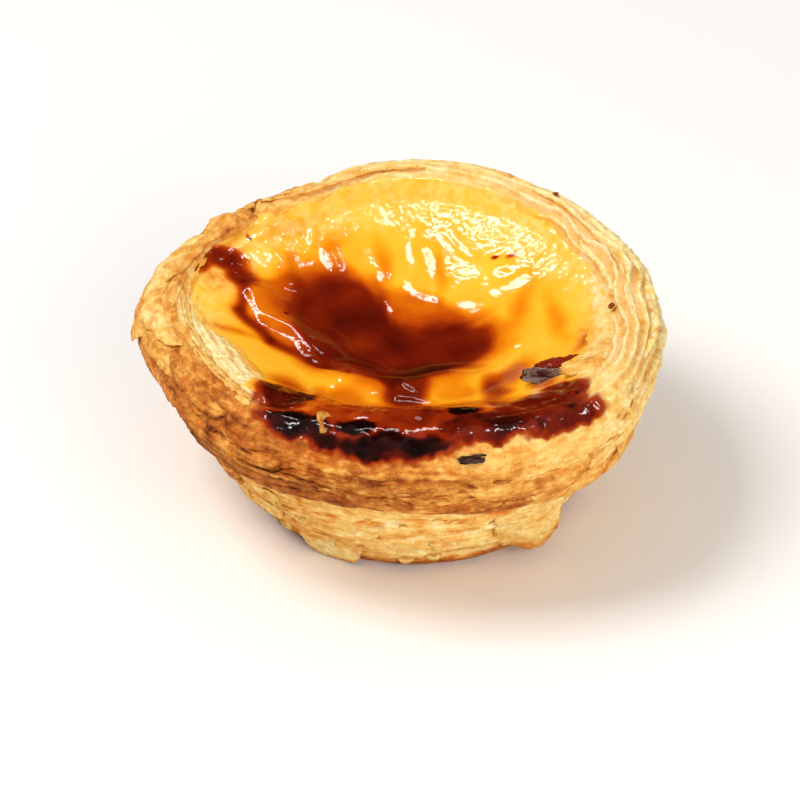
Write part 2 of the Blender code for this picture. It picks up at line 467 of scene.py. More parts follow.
class Recipe:
    """Builds one material's nodes, step by step."""

    def __init__(self, name: str) -> None:
        """Starts a material with a Principled shader and the piece's own coordinates."""
        self.material = bpy.data.materials.new(name)
        self.material.use_nodes = True
        self.tree = self.material.node_tree
        self.shader = self.tree.nodes["Principled BSDF"]
        self.place = self.tree.nodes.new("ShaderNodeTexCoord").outputs["Object"]

    def set(self, **sockets: float | tuple[float, ...]) -> None:
        """Sets the shader's sockets, their names written with _ for each space."""
        for name, value in sockets.items():
            self.shader.inputs[name.replace("_", " ")].default_value = value

    def feed(self, name: str, source: bpy.types.NodeSocket) -> None:
        """Leads a node's output into one of the shader's sockets."""
        self.tree.links.new(source, self.shader.inputs[name])

    def mark(self, name: str) -> bpy.types.NodeSocket:
        """The number that the mesh carries under this name."""
        node = self.tree.nodes.new("ShaderNodeAttribute")
        node.attribute_name = name
        return node.outputs["Fac"]

    def maths(
        self, kind: str, first: bpy.types.NodeSocket, second: bpy.types.NodeSocket | float
    ) -> bpy.types.NodeSocket:
        """One sum on two numbers, such as ADD or MULTIPLY.

        Args:
            kind: Blender's name for the sum.
            first: The first number.
            second: The second number, a socket or a constant.

        Returns:
            The result's socket.
        """
        node = self.tree.nodes.new("ShaderNodeMath")
        node.operation = kind
        self.tree.links.new(first, node.inputs[0])
        if isinstance(second, (int, float)):
            node.inputs[1].default_value = second
        else:
            self.tree.links.new(second, node.inputs[1])
        return node.outputs[0]

    def range(
        self, source: bpy.types.NodeSocket, low: float, high: float, start: float, end: float
    ) -> bpy.types.NodeSocket:
        """Maps low..high onto start..end, without going beyond.

        Args:
            source: The number to map.
            low: The value that becomes start.
            high: The value that becomes end.
            start: The result at low.
            end: The result at high.

        Returns:
            The result's socket.
        """
        node = self.tree.nodes.new("ShaderNodeMapRange")
        names = ("From Min", "From Max", "To Min", "To Max")
        for name, value in zip(names, (low, high, start, end)):
            node.inputs[name].default_value = value
        self.tree.links.new(source, node.inputs["Value"])
        return node.outputs["Result"]

    def grain(
        self, size: float, detail: float = 4.0, stretch: tuple[float, float, float] = (1, 1, 1)
    ) -> bpy.types.NodeSocket:
        """Noise in space.

        Args:
            size: Its largest lumps, in millimetres.
            detail: How many finer copies it has.
            stretch: How much longer its lumps are along each axis.

        Returns:
            The noise's socket, between 0 and 1.
        """
        mapping = self.tree.nodes.new("ShaderNodeMapping")
        mapping.inputs["Scale"].default_value = [1.0 / (size * MM * part) for part in stretch]
        self.tree.links.new(self.place, mapping.inputs["Vector"])
        node = self.tree.nodes.new("ShaderNodeTexNoise")
        node.inputs["Scale"].default_value = 1.0
        node.inputs["Detail"].default_value = detail
        node.inputs["Roughness"].default_value = 0.6
        self.tree.links.new(mapping.outputs["Vector"], node.inputs["Vector"])
        return node.outputs["Fac"]

    def ramp(self, source: bpy.types.NodeSocket, stops: Stops) -> bpy.types.NodeSocket:
        """Turns a number into a colour between stops.

        Args:
            source: A number from 0 to 1.
            stops: Pairs of a number and its linear colour.

        Returns:
            The colour's socket.
        """
        node = self.tree.nodes.new("ShaderNodeValToRGB")
        band = node.color_ramp
        while len(band.elements) < len(stops):
            band.elements.new(0.5)
        for element, (place, colour) in zip(band.elements, stops):
            element.position = place
            element.color = (*colour, 1.0)
        self.tree.links.new(source, node.inputs["Fac"])
        return node.outputs["Color"]

    def mix(
        self,
        share: bpy.types.NodeSocket,
        first: bpy.types.NodeSocket,
        second: bpy.types.NodeSocket | tuple[float, float, float],
        blend: str = "MIX",
    ) -> bpy.types.NodeSocket:
        """Mixes two colours.

        Args:
            share: How much of the second one.
            first: The first colour.
            second: The second colour, a socket or a constant.
            blend: Blender's name for the way they mix.

        Returns:
            The mixed colour's socket.
        """
        node = self.tree.nodes.new("ShaderNodeMix")
        node.data_type = "RGBA"
        node.blend_type = blend
        factor, base, top = node.inputs[0], node.inputs[6], node.inputs[7]
        self.tree.links.new(share, factor)
        self.tree.links.new(first, base)
        if isinstance(second, tuple):
            top.default_value = (*second, 1.0)
        else:
            self.tree.links.new(second, top)
        return node.outputs[2]

    def bump(
        self,
        height: bpy.types.NodeSocket,
        depth: float,
        strength: bpy.types.NodeSocket | float = 1.0,
        under: bpy.types.NodeSocket | None = None,
    ) -> bpy.types.NodeSocket:
        """Fine relief of a height from 0 to 1.

        Args:
            height: The relief.
            depth: How deep it is, in millimetres.
            strength: How much of it shows.
            under: The normal of the relief below, if any.

        Returns:
            The new normal's socket.
        """
        node = self.tree.nodes.new("ShaderNodeBump")
        node.inputs["Distance"].default_value = depth * MM
        if isinstance(strength, (int, float)):
            node.inputs["Strength"].default_value = strength
        else:
            self.tree.links.new(strength, node.inputs["Strength"])
        self.tree.links.new(height, node.inputs["Height"])
        if under is not None:
            self.tree.links.new(under, node.inputs["Normal"])
        return node.outputs["Normal"]


@dataclass(frozen=True)
class FlakyPastry:
    """Baked puff pastry: pale inside its layers, browner on what stands proud, black where burnt,
    with painted shade in the gaps between layers.

    It reads the marks toast, groove, scorch, glaze and ash.
    """

    name: str = "flaky_pastry"
    crust: Stops = (
        (0.0, paint(252, 234, 176)),
        (0.2, paint(247, 211, 128)),
        (0.4, paint(235, 172, 82)),
        (0.58, paint(200, 124, 52)),
        (0.74, paint(166, 90, 36)),
        (0.88, paint(128, 64, 26)),
        (1.0, paint(76, 34, 14)),
    )
    # Painted shade: this tint is multiplied into the gaps between layers.
    gap_shade_tint: tuple[float, float, float] = paint(230, 172, 104)
    glaze_tint: tuple[float, float, float] = paint(250, 176, 30)
    ash_tint: tuple[float, float, float] = paint(134, 114, 102)
    burnt: Stops = (
        (0.0, paint(186, 92, 26)),
        (0.5, paint(156, 58, 16)),
        (0.68, paint(136, 38, 10)),
        (0.8, paint(100, 22, 8)),
        (0.9, paint(56, 12, 6)),
        (1.0, paint(20, 6, 5)),
    )

    def make(self) -> bpy.types.Material:
        """Builds the material."""
        recipe = Recipe(self.name)
        fine = recipe.grain(0.9, 5.0)
        broad = recipe.grain(2.6, 3.0)
        strata = recipe.grain(0.5, 4.0, (4, 4, 1))
        clouds = recipe.range(broad, 0.35, 0.7, -0.1, 0.12)
        toast = recipe.maths("ADD", recipe.mark("toast"), clouds)
        toast = recipe.maths("ADD", toast, recipe.range(fine, 0.3, 0.7, -0.1, 0.1))
        toast = recipe.maths("ADD", toast, recipe.range(strata, 0.3, 0.7, -0.08, 0.08))
        colour = recipe.ramp(toast, self.crust)
        # Painted shade: the gaps between layers are darkened by the tint.
        colour = recipe.mix(recipe.mark("groove"), colour, self.gap_shade_tint, "MULTIPLY")
        glaze = recipe.mark("glaze")
        colour = recipe.mix(recipe.maths("MULTIPLY", glaze, 0.8), colour, self.glaze_tint)
        scorch = recipe.mark("scorch")
        seared = recipe.ramp(scorch, self.burnt)
        colour = recipe.mix(recipe.range(scorch, 0.12, 0.45, 0.0, 1.0), colour, seared)
        streaks = recipe.range(strata, 0.4, 0.62, 0.0, 1.0)
        ash = recipe.maths("MULTIPLY", recipe.mark("ash"), streaks)
        recipe.feed("Base Color", recipe.mix(ash, colour, self.ash_tint))
        sticky = recipe.range(scorch, 0.3, 0.6, 0.0, 1.0)
        sticky = recipe.maths("MULTIPLY", sticky, recipe.range(broad, 0.45, 0.6, 0.2, 0.9))
        wet = recipe.maths("MAXIMUM", glaze, sticky)
        recipe.feed("Roughness", recipe.range(wet, 0.0, 1.0, 0.56, 0.3))
        recipe.feed("Coat Weight", recipe.range(wet, 0.3, 1.0, 0.0, 0.8))
        crumb = recipe.bump(fine, 0.3, recipe.range(wet, 0.0, 1.0, 1.0, 0.3))
        layered = recipe.bump(strata, 0.25, recipe.range(wet, 0.0, 1.0, 1.0, 0.2), crumb)
        recipe.feed("Normal", recipe.bump(recipe.grain(0.35, 3.0), 0.06, 0.7, layered))
        recipe.set(
            Subsurface_Weight=0.12,
            Subsurface_Radius=(1.0, 0.5, 0.2),
            Subsurface_Scale=1.6 * MM,
            Specular_IOR_Level=0.04,
            Coat_Roughness=0.1,
        )
        return recipe.material


@dataclass(frozen=True)
class BakedCustard:
    """Egg custard with a sugary skin, from yellow through caramel to burnt.

    It reads the marks caramel, rough, crust and foam.
    """

    name: str = "baked_custard"
    skin: Stops = (
        (0.0, paint(253, 202, 66)),
        (0.2, paint(247, 170, 30)),
        (0.36, paint(230, 128, 12)),
        (0.52, paint(188, 76, 8)),
        (0.66, paint(142, 40, 8)),
        (0.8, paint(100, 20, 6)),
        (0.9, paint(58, 11, 5)),
        (1.0, paint(18, 5, 4)),
    )
    foam_tint: tuple[float, float, float] = paint(250, 212, 118)

    def make(self) -> bpy.types.Material:
        """Builds the material."""
        recipe = Recipe(self.name)
        browned = recipe.mark("caramel")
        cloud = recipe.range(recipe.grain(5.0, 3.0), 0.3, 0.7, -0.03, 0.05)
        colour = recipe.ramp(recipe.maths("ADD", browned, cloud), self.skin)
        curds = recipe.range(recipe.grain(1.6, 4.0), 0.4, 0.6, 0.2, 1.0)
        foam = recipe.maths("MULTIPLY", recipe.mark("foam"), curds)
        recipe.feed("Base Color", recipe.mix(foam, colour, self.foam_tint))
        crust = recipe.mark("crust")
        spots = recipe.range(recipe.grain(2.2, 3.0), 0.48, 0.6, 0.0, 0.6)
        beads = recipe.maths("MULTIPLY", crust, spots)
        gloss = recipe.range(browned, 0.6, 0.74, 0.6, 0.25)
        recipe.feed("Coat Weight", recipe.maths("MAXIMUM", beads, gloss))
        recipe.feed("Roughness", recipe.range(crust, 0.3, 0.9, 0.26, 0.6))
        ripple = recipe.bump(recipe.grain(0.9, 4.0), 0.09, recipe.mark("rough"))
        recipe.feed("Normal", recipe.bump(recipe.grain(0.4, 2.0), 0.03, 0.5, ripple))
        recipe.feed("Coat Normal", recipe.bump(recipe.grain(0.8, 1.0), 0.055))
        recipe.set(
            Specular_IOR_Level=0.0,
            Subsurface_Weight=0.3,
            Subsurface_Radius=(1.0, 0.45, 0.12),
            Subsurface_Scale=1.6 * MM,
            Coat_Roughness=0.05,
        )
        return recipe.material


# --------------------------------------------------------------------------------------
# What the heat did, laid out on the plan
# --------------------------------------------------------------------------------------


def on_plan(x: Array, y: Array, level: Array | float = 0.0) -> Array:
    """Points of the plan at one level, for reading noise there."""
    return np.stack(np.broadcast_arrays(x, y, level), axis=-1).astype(float)


@dataclass(frozen=True)
class Patch:
    """A browned patch: an ellipse whose tone falls off softly across its edge."""

    x: float
    y: float
    half_x: float
    half_y: float
    turn: float = 0.0
    tone: float = 0.8
    soft: float = 1.6

    def tone_at(self, x: Array, y: Array) -> Array:
        """Tone × an S curve of the distance from the ellipse, over a soft width on both sides.

        Args:
            x: Places on the plan.
            y: Places on the plan.

        Returns:
            The tone at each place.
        """
        cos, sin = math.cos(math.radians(self.turn)), math.sin(math.radians(self.turn))
        along = (cos * (x - self.x) + sin * (y - self.y)) / self.half_x
        across = (cos * (y - self.y) - sin * (x - self.x)) / self.half_y
        away = (np.hypot(along, across) - 1.0) * min(self.half_x, self.half_y)
        return self.tone * smooth_step(self.soft, -self.soft, away)


@dataclass(frozen=True)
class Welt:
    """A low ridge or, with a negative height, a crease along a short straight line.

    A welt with a shoulder is wider by that much on the left of its line.
    """

    start: tuple[float, float]
    end: tuple[float, float]
    width: float
    height: float
    shoulder: float = 0.0

    def lift(self, x: Array, y: Array) -> Array:
        """Height × exp(-(distance from the line / width)²), the width going by the side.

        Args:
            x: Places on the plan.
            y: Places on the plan.

        Returns:
            The welt's height at each place.
        """
        run = np.subtract(self.end, self.start)
        from_x, from_y = x - self.start[0], y - self.start[1]
        share = np.clip((from_x * run[0] + from_y * run[1]) / (run @ run), 0.0, 1.0)
        off_x, off_y = from_x - share * run[0], from_y - share * run[1]
        away = np.hypot(off_x, off_y)
        left = (off_y * run[0] - off_x * run[1]) / (np.hypot(*run) * away + 1e-9)
        width = self.width + self.shoulder * (0.5 + 0.5 * left)
        return self.height * np.exp(-((away / width) ** 2))


@dataclass(frozen=True)
class Browning:
    """Where the custard's skin took colour, and where it scorched together with the pastry."""

    pool_centre: tuple[float, float] = (-1.0, 3.0)
    pool_reach: Pairs = (
        (7, 15.6), (20, 12.8), (34, 9.8), (56, 7.4), (76, 7.2), (92, 8.0), (106, 12.6),
        (120, 17.6), (132, 19.4), (146, 19.2), (157, 18.6), (167, 18.0), (178, 16.8),
        (190, 15.2), (207, 14.6), (238, 13.0), (254, 14.6), (266, 16.6), (280, 15.6),
        (300, 14.8), (320, 13.4), (335, 13.4), (352, 15.8),
    )
    halo_reach: Pairs = (
        (115, 12.0), (132, 17.0), (146, 21.0), (158, 24.4), (168, 23.4), (177, 21.6),
        (185, 19.8), (194, 18.0), (205, 15.6), (217, 13.6), (240, 13.0), (262, 14.0),
    )
    patches: tuple[Patch, ...] = (
        Patch(0.0, -25.0, 21.0, 9.0, 0.0, 0.5, 4.0),
        Patch(-16.6, -15.6, 3.6, 7.0, 4.0, 0.48, 2.4),
        Patch(-12.2, -17.0, 1.2, 5.0, 0.0, 0.6, 1.5),
        Patch(-8.6, -15.4, 4.0, 4.4, 20.0, 0.42, 2.4),
        Patch(0.7, -13.0, 4.2, 4.6, 0.0, 0.74, 1.9),
        Patch(13.4, -14.4, 2.3, 6.8, 0.0, 0.66, 1.8),
        Patch(0.0, -20.4, 14.0, 4.0, 0.0, 0.64, 2.8),
        Patch(15.6, -10.0, 2.6, 5.6, -28.0, 0.56, 2.2),
        Patch(8.0, -13.4, 3.4, 3.4, 0.0, 0.34, 2.2),
        Patch(19.4, -15.6, 2.2, 2.4, 20.0, 0.5, 1.8),
        Patch(3.0, -5.0, 7.0, 5.4, 0.0, 0.83, 3.0),
        Patch(-27.6, 14.4, 3.8, 2.6, 12.0, 0.75, 1.5),
        Patch(-31.0, 11.6, 2.2, 3.0, -24.0, 0.7, 1.5),
        Patch(-24.6, 11.8, 2.5, 3.6, 14.0, 0.74, 1.7),
        Patch(-27.8, 10.0, 3.4, 2.8, 20.0, 0.34, 2.2),
        Patch(-18.0, 24.0, 6.0, 2.2, 30.0, 0.32, 2.4),
        Patch(-12.0, 21.0, 1.8, 5.0, -14.0, 0.38, 2.2),
        Patch(-3.0, 19.0, 1.4, 5.0, 8.0, 0.38, 1.8),
        Patch(5.6, 18.0, 1.0, 5.0, 0.0, 0.34, 1.6),
        Patch(18.0, 8.0, 2.0, 7.0, -20.0, 0.34, 2.4),
        Patch(23.0, 3.0, 1.6, 7.0, 10.0, 0.34, 2.2),
        Patch(-25.6, -0.6, 5.0, 0.9, 6.0, 0.48, 1.6),
        Patch(26.6, -5.4, 1.2, 3.4, -10.0, 0.5, 1.5),
        Patch(14.6, 19.3, 0.5, 0.4, 0.0, 0.8, 0.4),
        Patch(17.0, 18.7, 0.9, 0.6, 10.0, 0.6, 0.5),
        Patch(-24.2, 19.8, 0.4, 0.4, 0.0, 0.8, 0.3),
        Patch(-17.6, 5.4, 0.5, 0.4, 0.0, 0.86, 0.3),
    )
    pool_tone: float = 0.755
    glow: tuple[float, float] = (0.42, 3.4)
    warmth: tuple[float, float] = (0.17, 8.0)
    halo_tone: float = 0.46
    streaks: tuple[Welt, ...] = (
        Welt((-24.6, 10.6), (-24.0, 5.0), 1.6, 0.66),
        Welt((-24.0, 5.0), (-20.0, 0.0), 1.8, 0.7),
        Welt((-20.0, 0.0), (-14.0, -3.2), 1.7, 0.68),
        Welt((-14.0, -3.2), (-8.0, -7.6), 1.5, 0.66),
        Welt((-8.0, -7.8), (-3.0, -11.0), 1.4, 0.6),
        Welt((-17.6, 19.0), (-16.4, 14.0), 1.6, 0.34),
    )
    scorched: tuple[Patch, ...] = (
        Patch(0.0, -30.6, 20.0, 5.4, 0.0, 0.64, 2.2),
        Patch(-17.0, -21.4, 4.8, 6.2, 6.0, 0.85, 1.7),
        Patch(-8.4, -27.2, 4.6, 3.4, 0.0, 0.62, 2.2),
        Patch(-15.2, -30.4, 6.2, 2.5, -30.0, 0.99, 1.0),
        Patch(-6.6, -32.4, 3.8, 1.9, -4.0, 1.0, 0.8),
        Patch(1.6, -29.4, 4.6, 4.6, 0.0, 0.7, 1.6),
        Patch(8.6, -28.0, 2.9, 1.9, 24.0, 0.98, 0.9),
        Patch(11.4, -31.0, 8.0, 3.2, 22.0, 0.82, 1.3),
        Patch(18.6, -25.4, 7.4, 5.0, 48.0, 0.77, 1.3),
        Patch(22.0, -19.6, 3.4, 3.4, 0.0, 0.74, 1.2),
        Patch(13.8, -24.6, 2.4, 2.6, 0.0, 0.7, 1.6),
        Patch(16.0, -28.6, 6.4, 2.4, 40.0, 0.8, 1.3),
        Patch(-1.0, -35.4, 12.5, 1.9, 0.0, 0.98, 1.0),
        Patch(-13.0, -33.6, 7.0, 2.0, -26.0, 0.92, 1.0),
        Patch(-4.0, -37.0, 14.0, 3.0, 3.0, 0.86, 1.3),
        Patch(13.0, -34.4, 9.0, 3.4, 24.0, 0.84, 1.2),
        Patch(22.4, -28.4, 6.6, 3.0, 48.0, 0.8, 1.2),
    )

    def caramel(self, x: Array, y: Array) -> Array:
        """The tone of the skin: the soft maximum of all patches, their edges warped.

        Args:
            x: Places on the plan.
            y: Places on the plan.

        Returns:
            Tones from 0 to 1.
        """
        place = on_plan(x, y)
        warp = [0.9 * lumps(place, 6.0, seed, 2, 0.4) for seed in (11, 12)]
        there = x + warp[0], y + warp[1]
        plain = 0.1 + 0.06 * lumps(place, 9.0, 13)
        pool = self.pool(*there) * (1.0 + 0.08 * lumps(place, 6.0, 14))
        patches = [patch.tone_at(*there) for patch in self.patches]
        streaks = [streak.lift(*there) for streak in self.streaks]
        tone = soft_maximum(plain, pool, *patches, *streaks)
        return np.clip(np.maximum(tone, self.scorch(x, y)), 0.0, 1.0)

    def pool(self, x: Array, y: Array) -> Array:
        """The tone of the brown pool in the middle and of the amber glow round it.

        The pool's reach from a centre goes by angle. Its tone falls over a soft width at that
        reach, on to a glow of tone × exp(-(distance / width)²) and a wider, fainter one.

        Args:
            x: Places on the plan.
            y: Places on the plan.

        Returns:
            Tones from 0 to 1.
        """
        from_x, from_y = x - self.pool_centre[0], y - self.pool_centre[1]
        angle = np.arctan2(from_y, from_x)
        reach = np.hypot(from_x, from_y)
        outside = reach - around(angle, *self.pool_reach)
        soft = 2.8 + 1.4 * np.sin(angle)
        core = self.pool_tone * smooth_step(1.0, -1.0, outside / soft)
        away = np.maximum(outside, 0.0)
        rings = [tone * np.exp(-((away / width) ** 2)) for tone, width in (self.glow, self.warmth)]
        past_halo = reach - around(angle, *self.halo_reach)
        halo = self.halo_tone * smooth_step(1.8, -1.8, past_halo)
        return soft_maximum(core, *rings, halo)

    def scorch(self, x: Array, y: Array) -> Array:
        """The tone of the scorched front, which runs over the custard and the pastry alike.

        Args:
            x: Places on the plan.
            y: Places on the plan.

        Returns:
            Tones from 0 to about 1.2.
        """
        place = on_plan(x, y)
        warp = [1.4 * lumps(place, 5.0, seed, 3, 0.5) for seed in (21, 22)]
        tone = np.zeros(np.shape(x))
        for patch in self.scorched:
            tone = np.maximum(tone, patch.tone_at(x + warp[0], y + warp[1]))
        flecks = smooth_step(0.3, 0.6, lumps(place, 2.0, 24, 2, 0.6))
        return tone * np.clip(1.0 + 0.14 * lumps(place, 4.0, 23, 2) + 0.14 * flecks, 0.0, 1.2)


@dataclass(frozen=True)
class Meeting:
    """The line where the custard laps over the pastry, or the pastry over the custard."""

    edge_radius: float = 31.6
    steepness: float = 0.22
    bare: Pairs = (
        (0, 3.2), (20, 1.6), (45, -0.6), (75, -2.2), (100, -2.0), (125, -1.6), (145, -1.6),
        (165, -1.0), (178, 1.5), (195, 5.4), (212, 6.4), (224, 3.0), (235, -1.5), (270, -2.4),
        (300, -2.0), (318, 1.0), (335, 4.0),
    )

    def pastry_lead(self, angle: Array, radius: Array) -> Array:
        """How far the pastry stands above the custard at a place, in millimetres.

        It is steepness × the distance outwards from an uneven line, and levels off at both
        ends. The line lies the bare width inside the custard's nominal edge.

        Args:
            angle: Angles round the tart.
            radius: Distances from its axis.

        Returns:
            Heights in millimetres, below 0 where the custard is on top.
        """
        place = on_plan(radius * np.cos(angle), radius * np.sin(angle))
        uneven = 1.3 * lumps(place, 5.5, 31, 3, 0.55)
        outside = radius - self.edge_radius + around(angle, *self.bare) + uneven
        return np.clip(self.steepness * outside, -0.6, 0.5)


# --------------------------------------------------------------------------------------
# The custard
# --------------------------------------------------------------------------------------


@dataclass(frozen=True)
class CustardFilling:
    """The filling: a bowl-shaped skin with a fold across its front, wrinkles and bubbles."""

    height: float = 29.6
    radius: float = 31.6
    depth: float = 9.3
    deepest: tuple[float, float] = (0.5, 1.0)
    fold_distance: float = 11.0
    fold_height: float = 3.2
    fold_width: float = 4.8
    film_radius: float = 34.4
    spill: tuple[float, float, float] = (1.9, math.radians(-88), math.radians(36))
    columns: int = 780
    underside: Pairs = (
        (33.6, 29.8), (31.2, 27.6), (28.7, 20.0), (26.3, 12.2), (22.8, 5.2), (19.0, 3.4),
        (1.0, 3.3),
    )
    foamy: Pairs = (
        (-40, 0.3), (0, 0.6), (40, 0.9), (80, 0.7), (120, 0.6), (180, 0.7), (220, 0.5),
    )
    welts: tuple[Welt, ...] = (
        Welt((1.8, 25.0), (1.6, 17.0), 0.8, 0.22),
        Welt((1.8, 16.0), (3.4, 14.0), 0.8, 0.2),
        Welt((4.8, 21.0), (5.2, 13.5), 1.2, 0.27),
        Welt((-4.8, 22.5), (-3.6, 18.0), 1.5, 0.32),
        Welt((-3.2, 16.6), (-1.6, 12.4), 1.2, 0.26),
        Welt((-19.4, 18.0), (-17.8, 13.6), 1.5, 0.64),
        Welt((-14.9, 23.8), (-14.5, 21.0), 1.1, 0.4),
        Welt((-11.6, 20.6), (-11.0, 18.6), 1.5, 0.42),
        Welt((9.0, 23.6), (9.4, 20.6), 1.6, 0.12),
        Welt((7.0, 24.2), (10.4, 20.4), 0.4, -0.1),
        Welt((10.4, 24.6), (8.4, 19.8), 0.4, -0.1),
        Welt((6.6, 18.2), (11.4, 18.0), 2.4, 0.16),
        Welt((16.2, 16.8), (13.2, 15.4), 1.5, 0.26),
        Welt((13.2, 13.6), (10.0, 12.2), 1.5, 0.24),
        Welt((18.4, 14.0), (15.2, 12.2), 0.9, 0.24),
        Welt((-23.2, 11.0), (-22.2, 9.0), 1.0, 0.52, 1.5),
        Welt((-21.6, 7.6), (-19.9, 4.6), 1.5, 0.72, 2.6),
        Welt((-19.2, 4.4), (-17.0, 2.0), 1.6, 0.74, 3.0),
        Welt((-16.2, 3.2), (-13.6, 0.8), 1.7, 0.84, 3.0),
        Welt((-20.6, -18.6), (-12.6, -21.4), 2.8, 0.9),
        Welt((-13.0, -0.6), (-8.6, -3.6), 1.5, 0.7, 2.0),
        Welt((-14.0, 6.0), (-9.0, 3.4), 0.45, 0.22),
        Welt((-9.0, 3.4), (-3.6, -2.4), 0.45, 0.24),
        Welt((-3.6, -2.4), (-6.6, -8.0), 0.8, -0.2),
        Welt((11.0, -8.6), (17.5, -1.6), 0.7, -0.3),
        Welt((-13.0, -3.2), (-6.0, -9.6), 0.7, -0.25),
        Welt((-12.6, -6.4), (-8.2, -10.8), 0.7, 0.3),
        Welt((-13.0, -8.0), (-9.4, -11.8), 0.6, 0.26),
        Welt((-1.4, -14.4), (4.6, -15.2), 0.7, 0.4),
        Welt((0.4, -12.2), (1.6, -13.0), 0.6, 0.26),
    )

    def top(self, x: Array, y: Array) -> Array:
        """The skin's plain height: a bowl, depth × (1 - distance^1.6), with a fold raised in it.

        Args:
            x: Places on the plan.
            y: Places on the plan.

        Returns:
            Heights in millimetres.
        """
        across = np.hypot(x - self.deepest[0], y - self.deepest[1]) / self.radius
        bowl = self.depth * np.clip(1.0 - across**1.6, 0.0, 1.0)
        front = smooth_step(0.15, 0.9, np.sin(np.arctan2(-y, x)))
        radius = np.hypot(x, y)
        fold = np.exp(-(((radius - self.fold_distance) / self.fold_width) ** 2))
        return self.height - bowl + self.fold_height * front * fold

    def relief(self, x: Array, y: Array) -> tuple[Array, Array, Array]:
        """What stands on the plain skin, and how wrinkled it is.

        Args:
            x: Places on the plan.
            y: Places on the plan.

        Returns:
            Heights in millimetres, the wrinkling and the pale foam at the edge, both from 0 to 1.
        """
        place = on_plan(x, y)
        radius, angle = np.hypot(x, y), np.arctan2(y, x)
        back = smooth_step(0.1, 0.8, np.sin(angle + 0.1))
        slope = smooth_step(9.0, 15.0, radius) * smooth_step(30.0, 25.0, radius)
        bent = x + 1.2 * lumps(place, 6.0, 41), y + 1.2 * lumps(place, 6.0, 42)
        raised = sum(welt.lift(*bent) for welt in self.welts)
        pleats = np.sin(17.0 * angle + 2.4 * lumps(place, 7.0, 43))
        raised = raised + 0.05 * back * slope * pleats + 0.16 * lumps(place, 7.0, 44)
        rough = back * slope * smooth_step(-0.1, 0.5, lumps(place, 3.6, 45))
        border = smooth_step(25.0, 29.0, radius + 2.4 * lumps(place, 5.0, 46, 2))
        border = border * around(angle, (0, 0.5), (30, 1), (100, 1), (150, 0.5), (215, 0.3))
        nearest, owner = cells(place, 0.9, 47)
        bubbles = np.sqrt(np.clip(1.0 - (nearest / (0.35 + 0.3 * owner)) ** 2, 0.0, 1.0))
        raised = raised + border * (0.16 * bubbles + 0.17 * lumps(place, 3.0, 48, 3))
        foam = smooth_step(24.5, 30.0, radius + 3.0 * lumps(place, 5.0, 49, 3, 0.6))
        foam = foam * around(angle, *self.foamy)
        return raised, np.clip(0.1 + 0.9 * rough + 0.8 * border, 0.0, 1.0), foam

    def make(
        self, oven: Oven, rim: "RisenRim", browning: Browning, finish: bpy.types.Material
    ) -> bpy.types.Object:
        """Builds the filling: rings from the middle out over the rim, and back underneath.

        Args:
            oven: What makes it uneven.
            rim: The rim that it laps over.
            browning: What the heat did.
            finish: Its material.

        Returns:
            The filling.
        """
        angle = np.linspace(0.0, 2.0 * np.pi, self.columns, endpoint=False)[None, :]
        middle, slope = np.linspace(0.2, 12.0, 30), np.linspace(12.3, self.film_radius, 84)
        radius = np.concatenate([middle, slope])
        reach, centre, width = self.spill
        spill = reach * bell(angle, centre, width)
        past_edge = smooth_step(self.radius, self.film_radius, radius[:, None])
        radius = radius[:, None] + spill * past_edge
        edge = self.film_radius + spill
        x, y = radius * np.cos(angle), radius * np.sin(angle)
        scorch, caramel = browning.scorch(x, y), browning.caramel(x, y)
        raised, rough, foam = self.relief(x, y)
        place = on_plan(x, y)
        burnt = smooth_step(0.3, 0.8, scorch)
        raised = raised + burnt * 0.5 * lumps(place, 3.4, 51, 4, 0.5)
        outside = smooth_step(-1.5, 0.5, radius - self.radius)
        lead = rim.meeting.pastry_lead(angle, radius)
        dive = smooth_step(-1.6, 0.0, radius - edge)
        lead = lead * (1.0 - dive) + 0.9 * dive
        film = rim.height_at(radius)
        level = self.top(x, y) * (1.0 - outside) + film * outside
        level = level + raised * (1.0 - 0.6 * outside) - outside * lead
        skin = oven.bake(on_plan(x, y, self.height))
        skin[..., 2] += level - self.height
        under_radius, under_height = np.array(self.underside).T[..., None]
        below = on_plan(under_radius * np.cos(angle), under_radius * np.sin(angle), under_height)
        below = oven.bake(below)
        points = np.concatenate([skin, below])
        hidden = np.zeros(below.shape[:2])
        marks = {
            "caramel": np.concatenate([caramel, hidden + 0.2]),
            "rough": np.concatenate([rough * (1.0 - 0.8 * burnt), hidden]),
            "crust": np.concatenate([burnt, hidden]),
            "foam": np.concatenate([foam * smooth_step(0.5, 0.3, caramel), hidden]),
        }
        body = Rings(points, Ends.POLES, marks)
        return make_piece("custard_filling", [body], finish, "custard")


# --------------------------------------------------------------------------------------
# The pastry
# --------------------------------------------------------------------------------------

CREST_RING = 35.0


class Section:
    """A line across the wall of the case, read by the distance along it, in millimetres."""

    def __init__(self, knots: Pairs, side: float) -> None:
        """Lays a smooth line through knots.

        Args:
            knots: Radius and height of each knot.
            side: 1 if the open air is on the line's left, -1 if it is on its right.
        """
        self.length = float(np.linalg.norm(np.diff(np.array(knots), axis=0), axis=1).sum())
        self.steps = np.linspace(0.0, self.length, 400)
        self.line = through(knots, self.steps / self.length)
        slope = np.gradient(self.line, axis=0)
        slope = slope / np.linalg.norm(slope, axis=1, keepdims=True)
        self.out = side * np.stack([-slope[:, 1], slope[:, 0]], axis=1)

    def at(self, s: Array) -> tuple[Array, Array, Array, Array]:
        """Radius, height and the two parts of the outward normal at distances s."""
        columns = (self.line[:, 0], self.line[:, 1], self.out[:, 0], self.out[:, 1])
        return tuple(np.interp(s, self.steps, column) for column in columns)

    def raised(self, angle: Array, s: Array, lift: Array) -> Array:
        """Points at angles and distances, moved outwards by lift along the normal."""
        radius, height, out_r, out_z = self.at(s)
        wide = radius + lift * out_r
        return on_plan(wide * np.cos(angle), wide * np.sin(angle), height + lift * out_z)


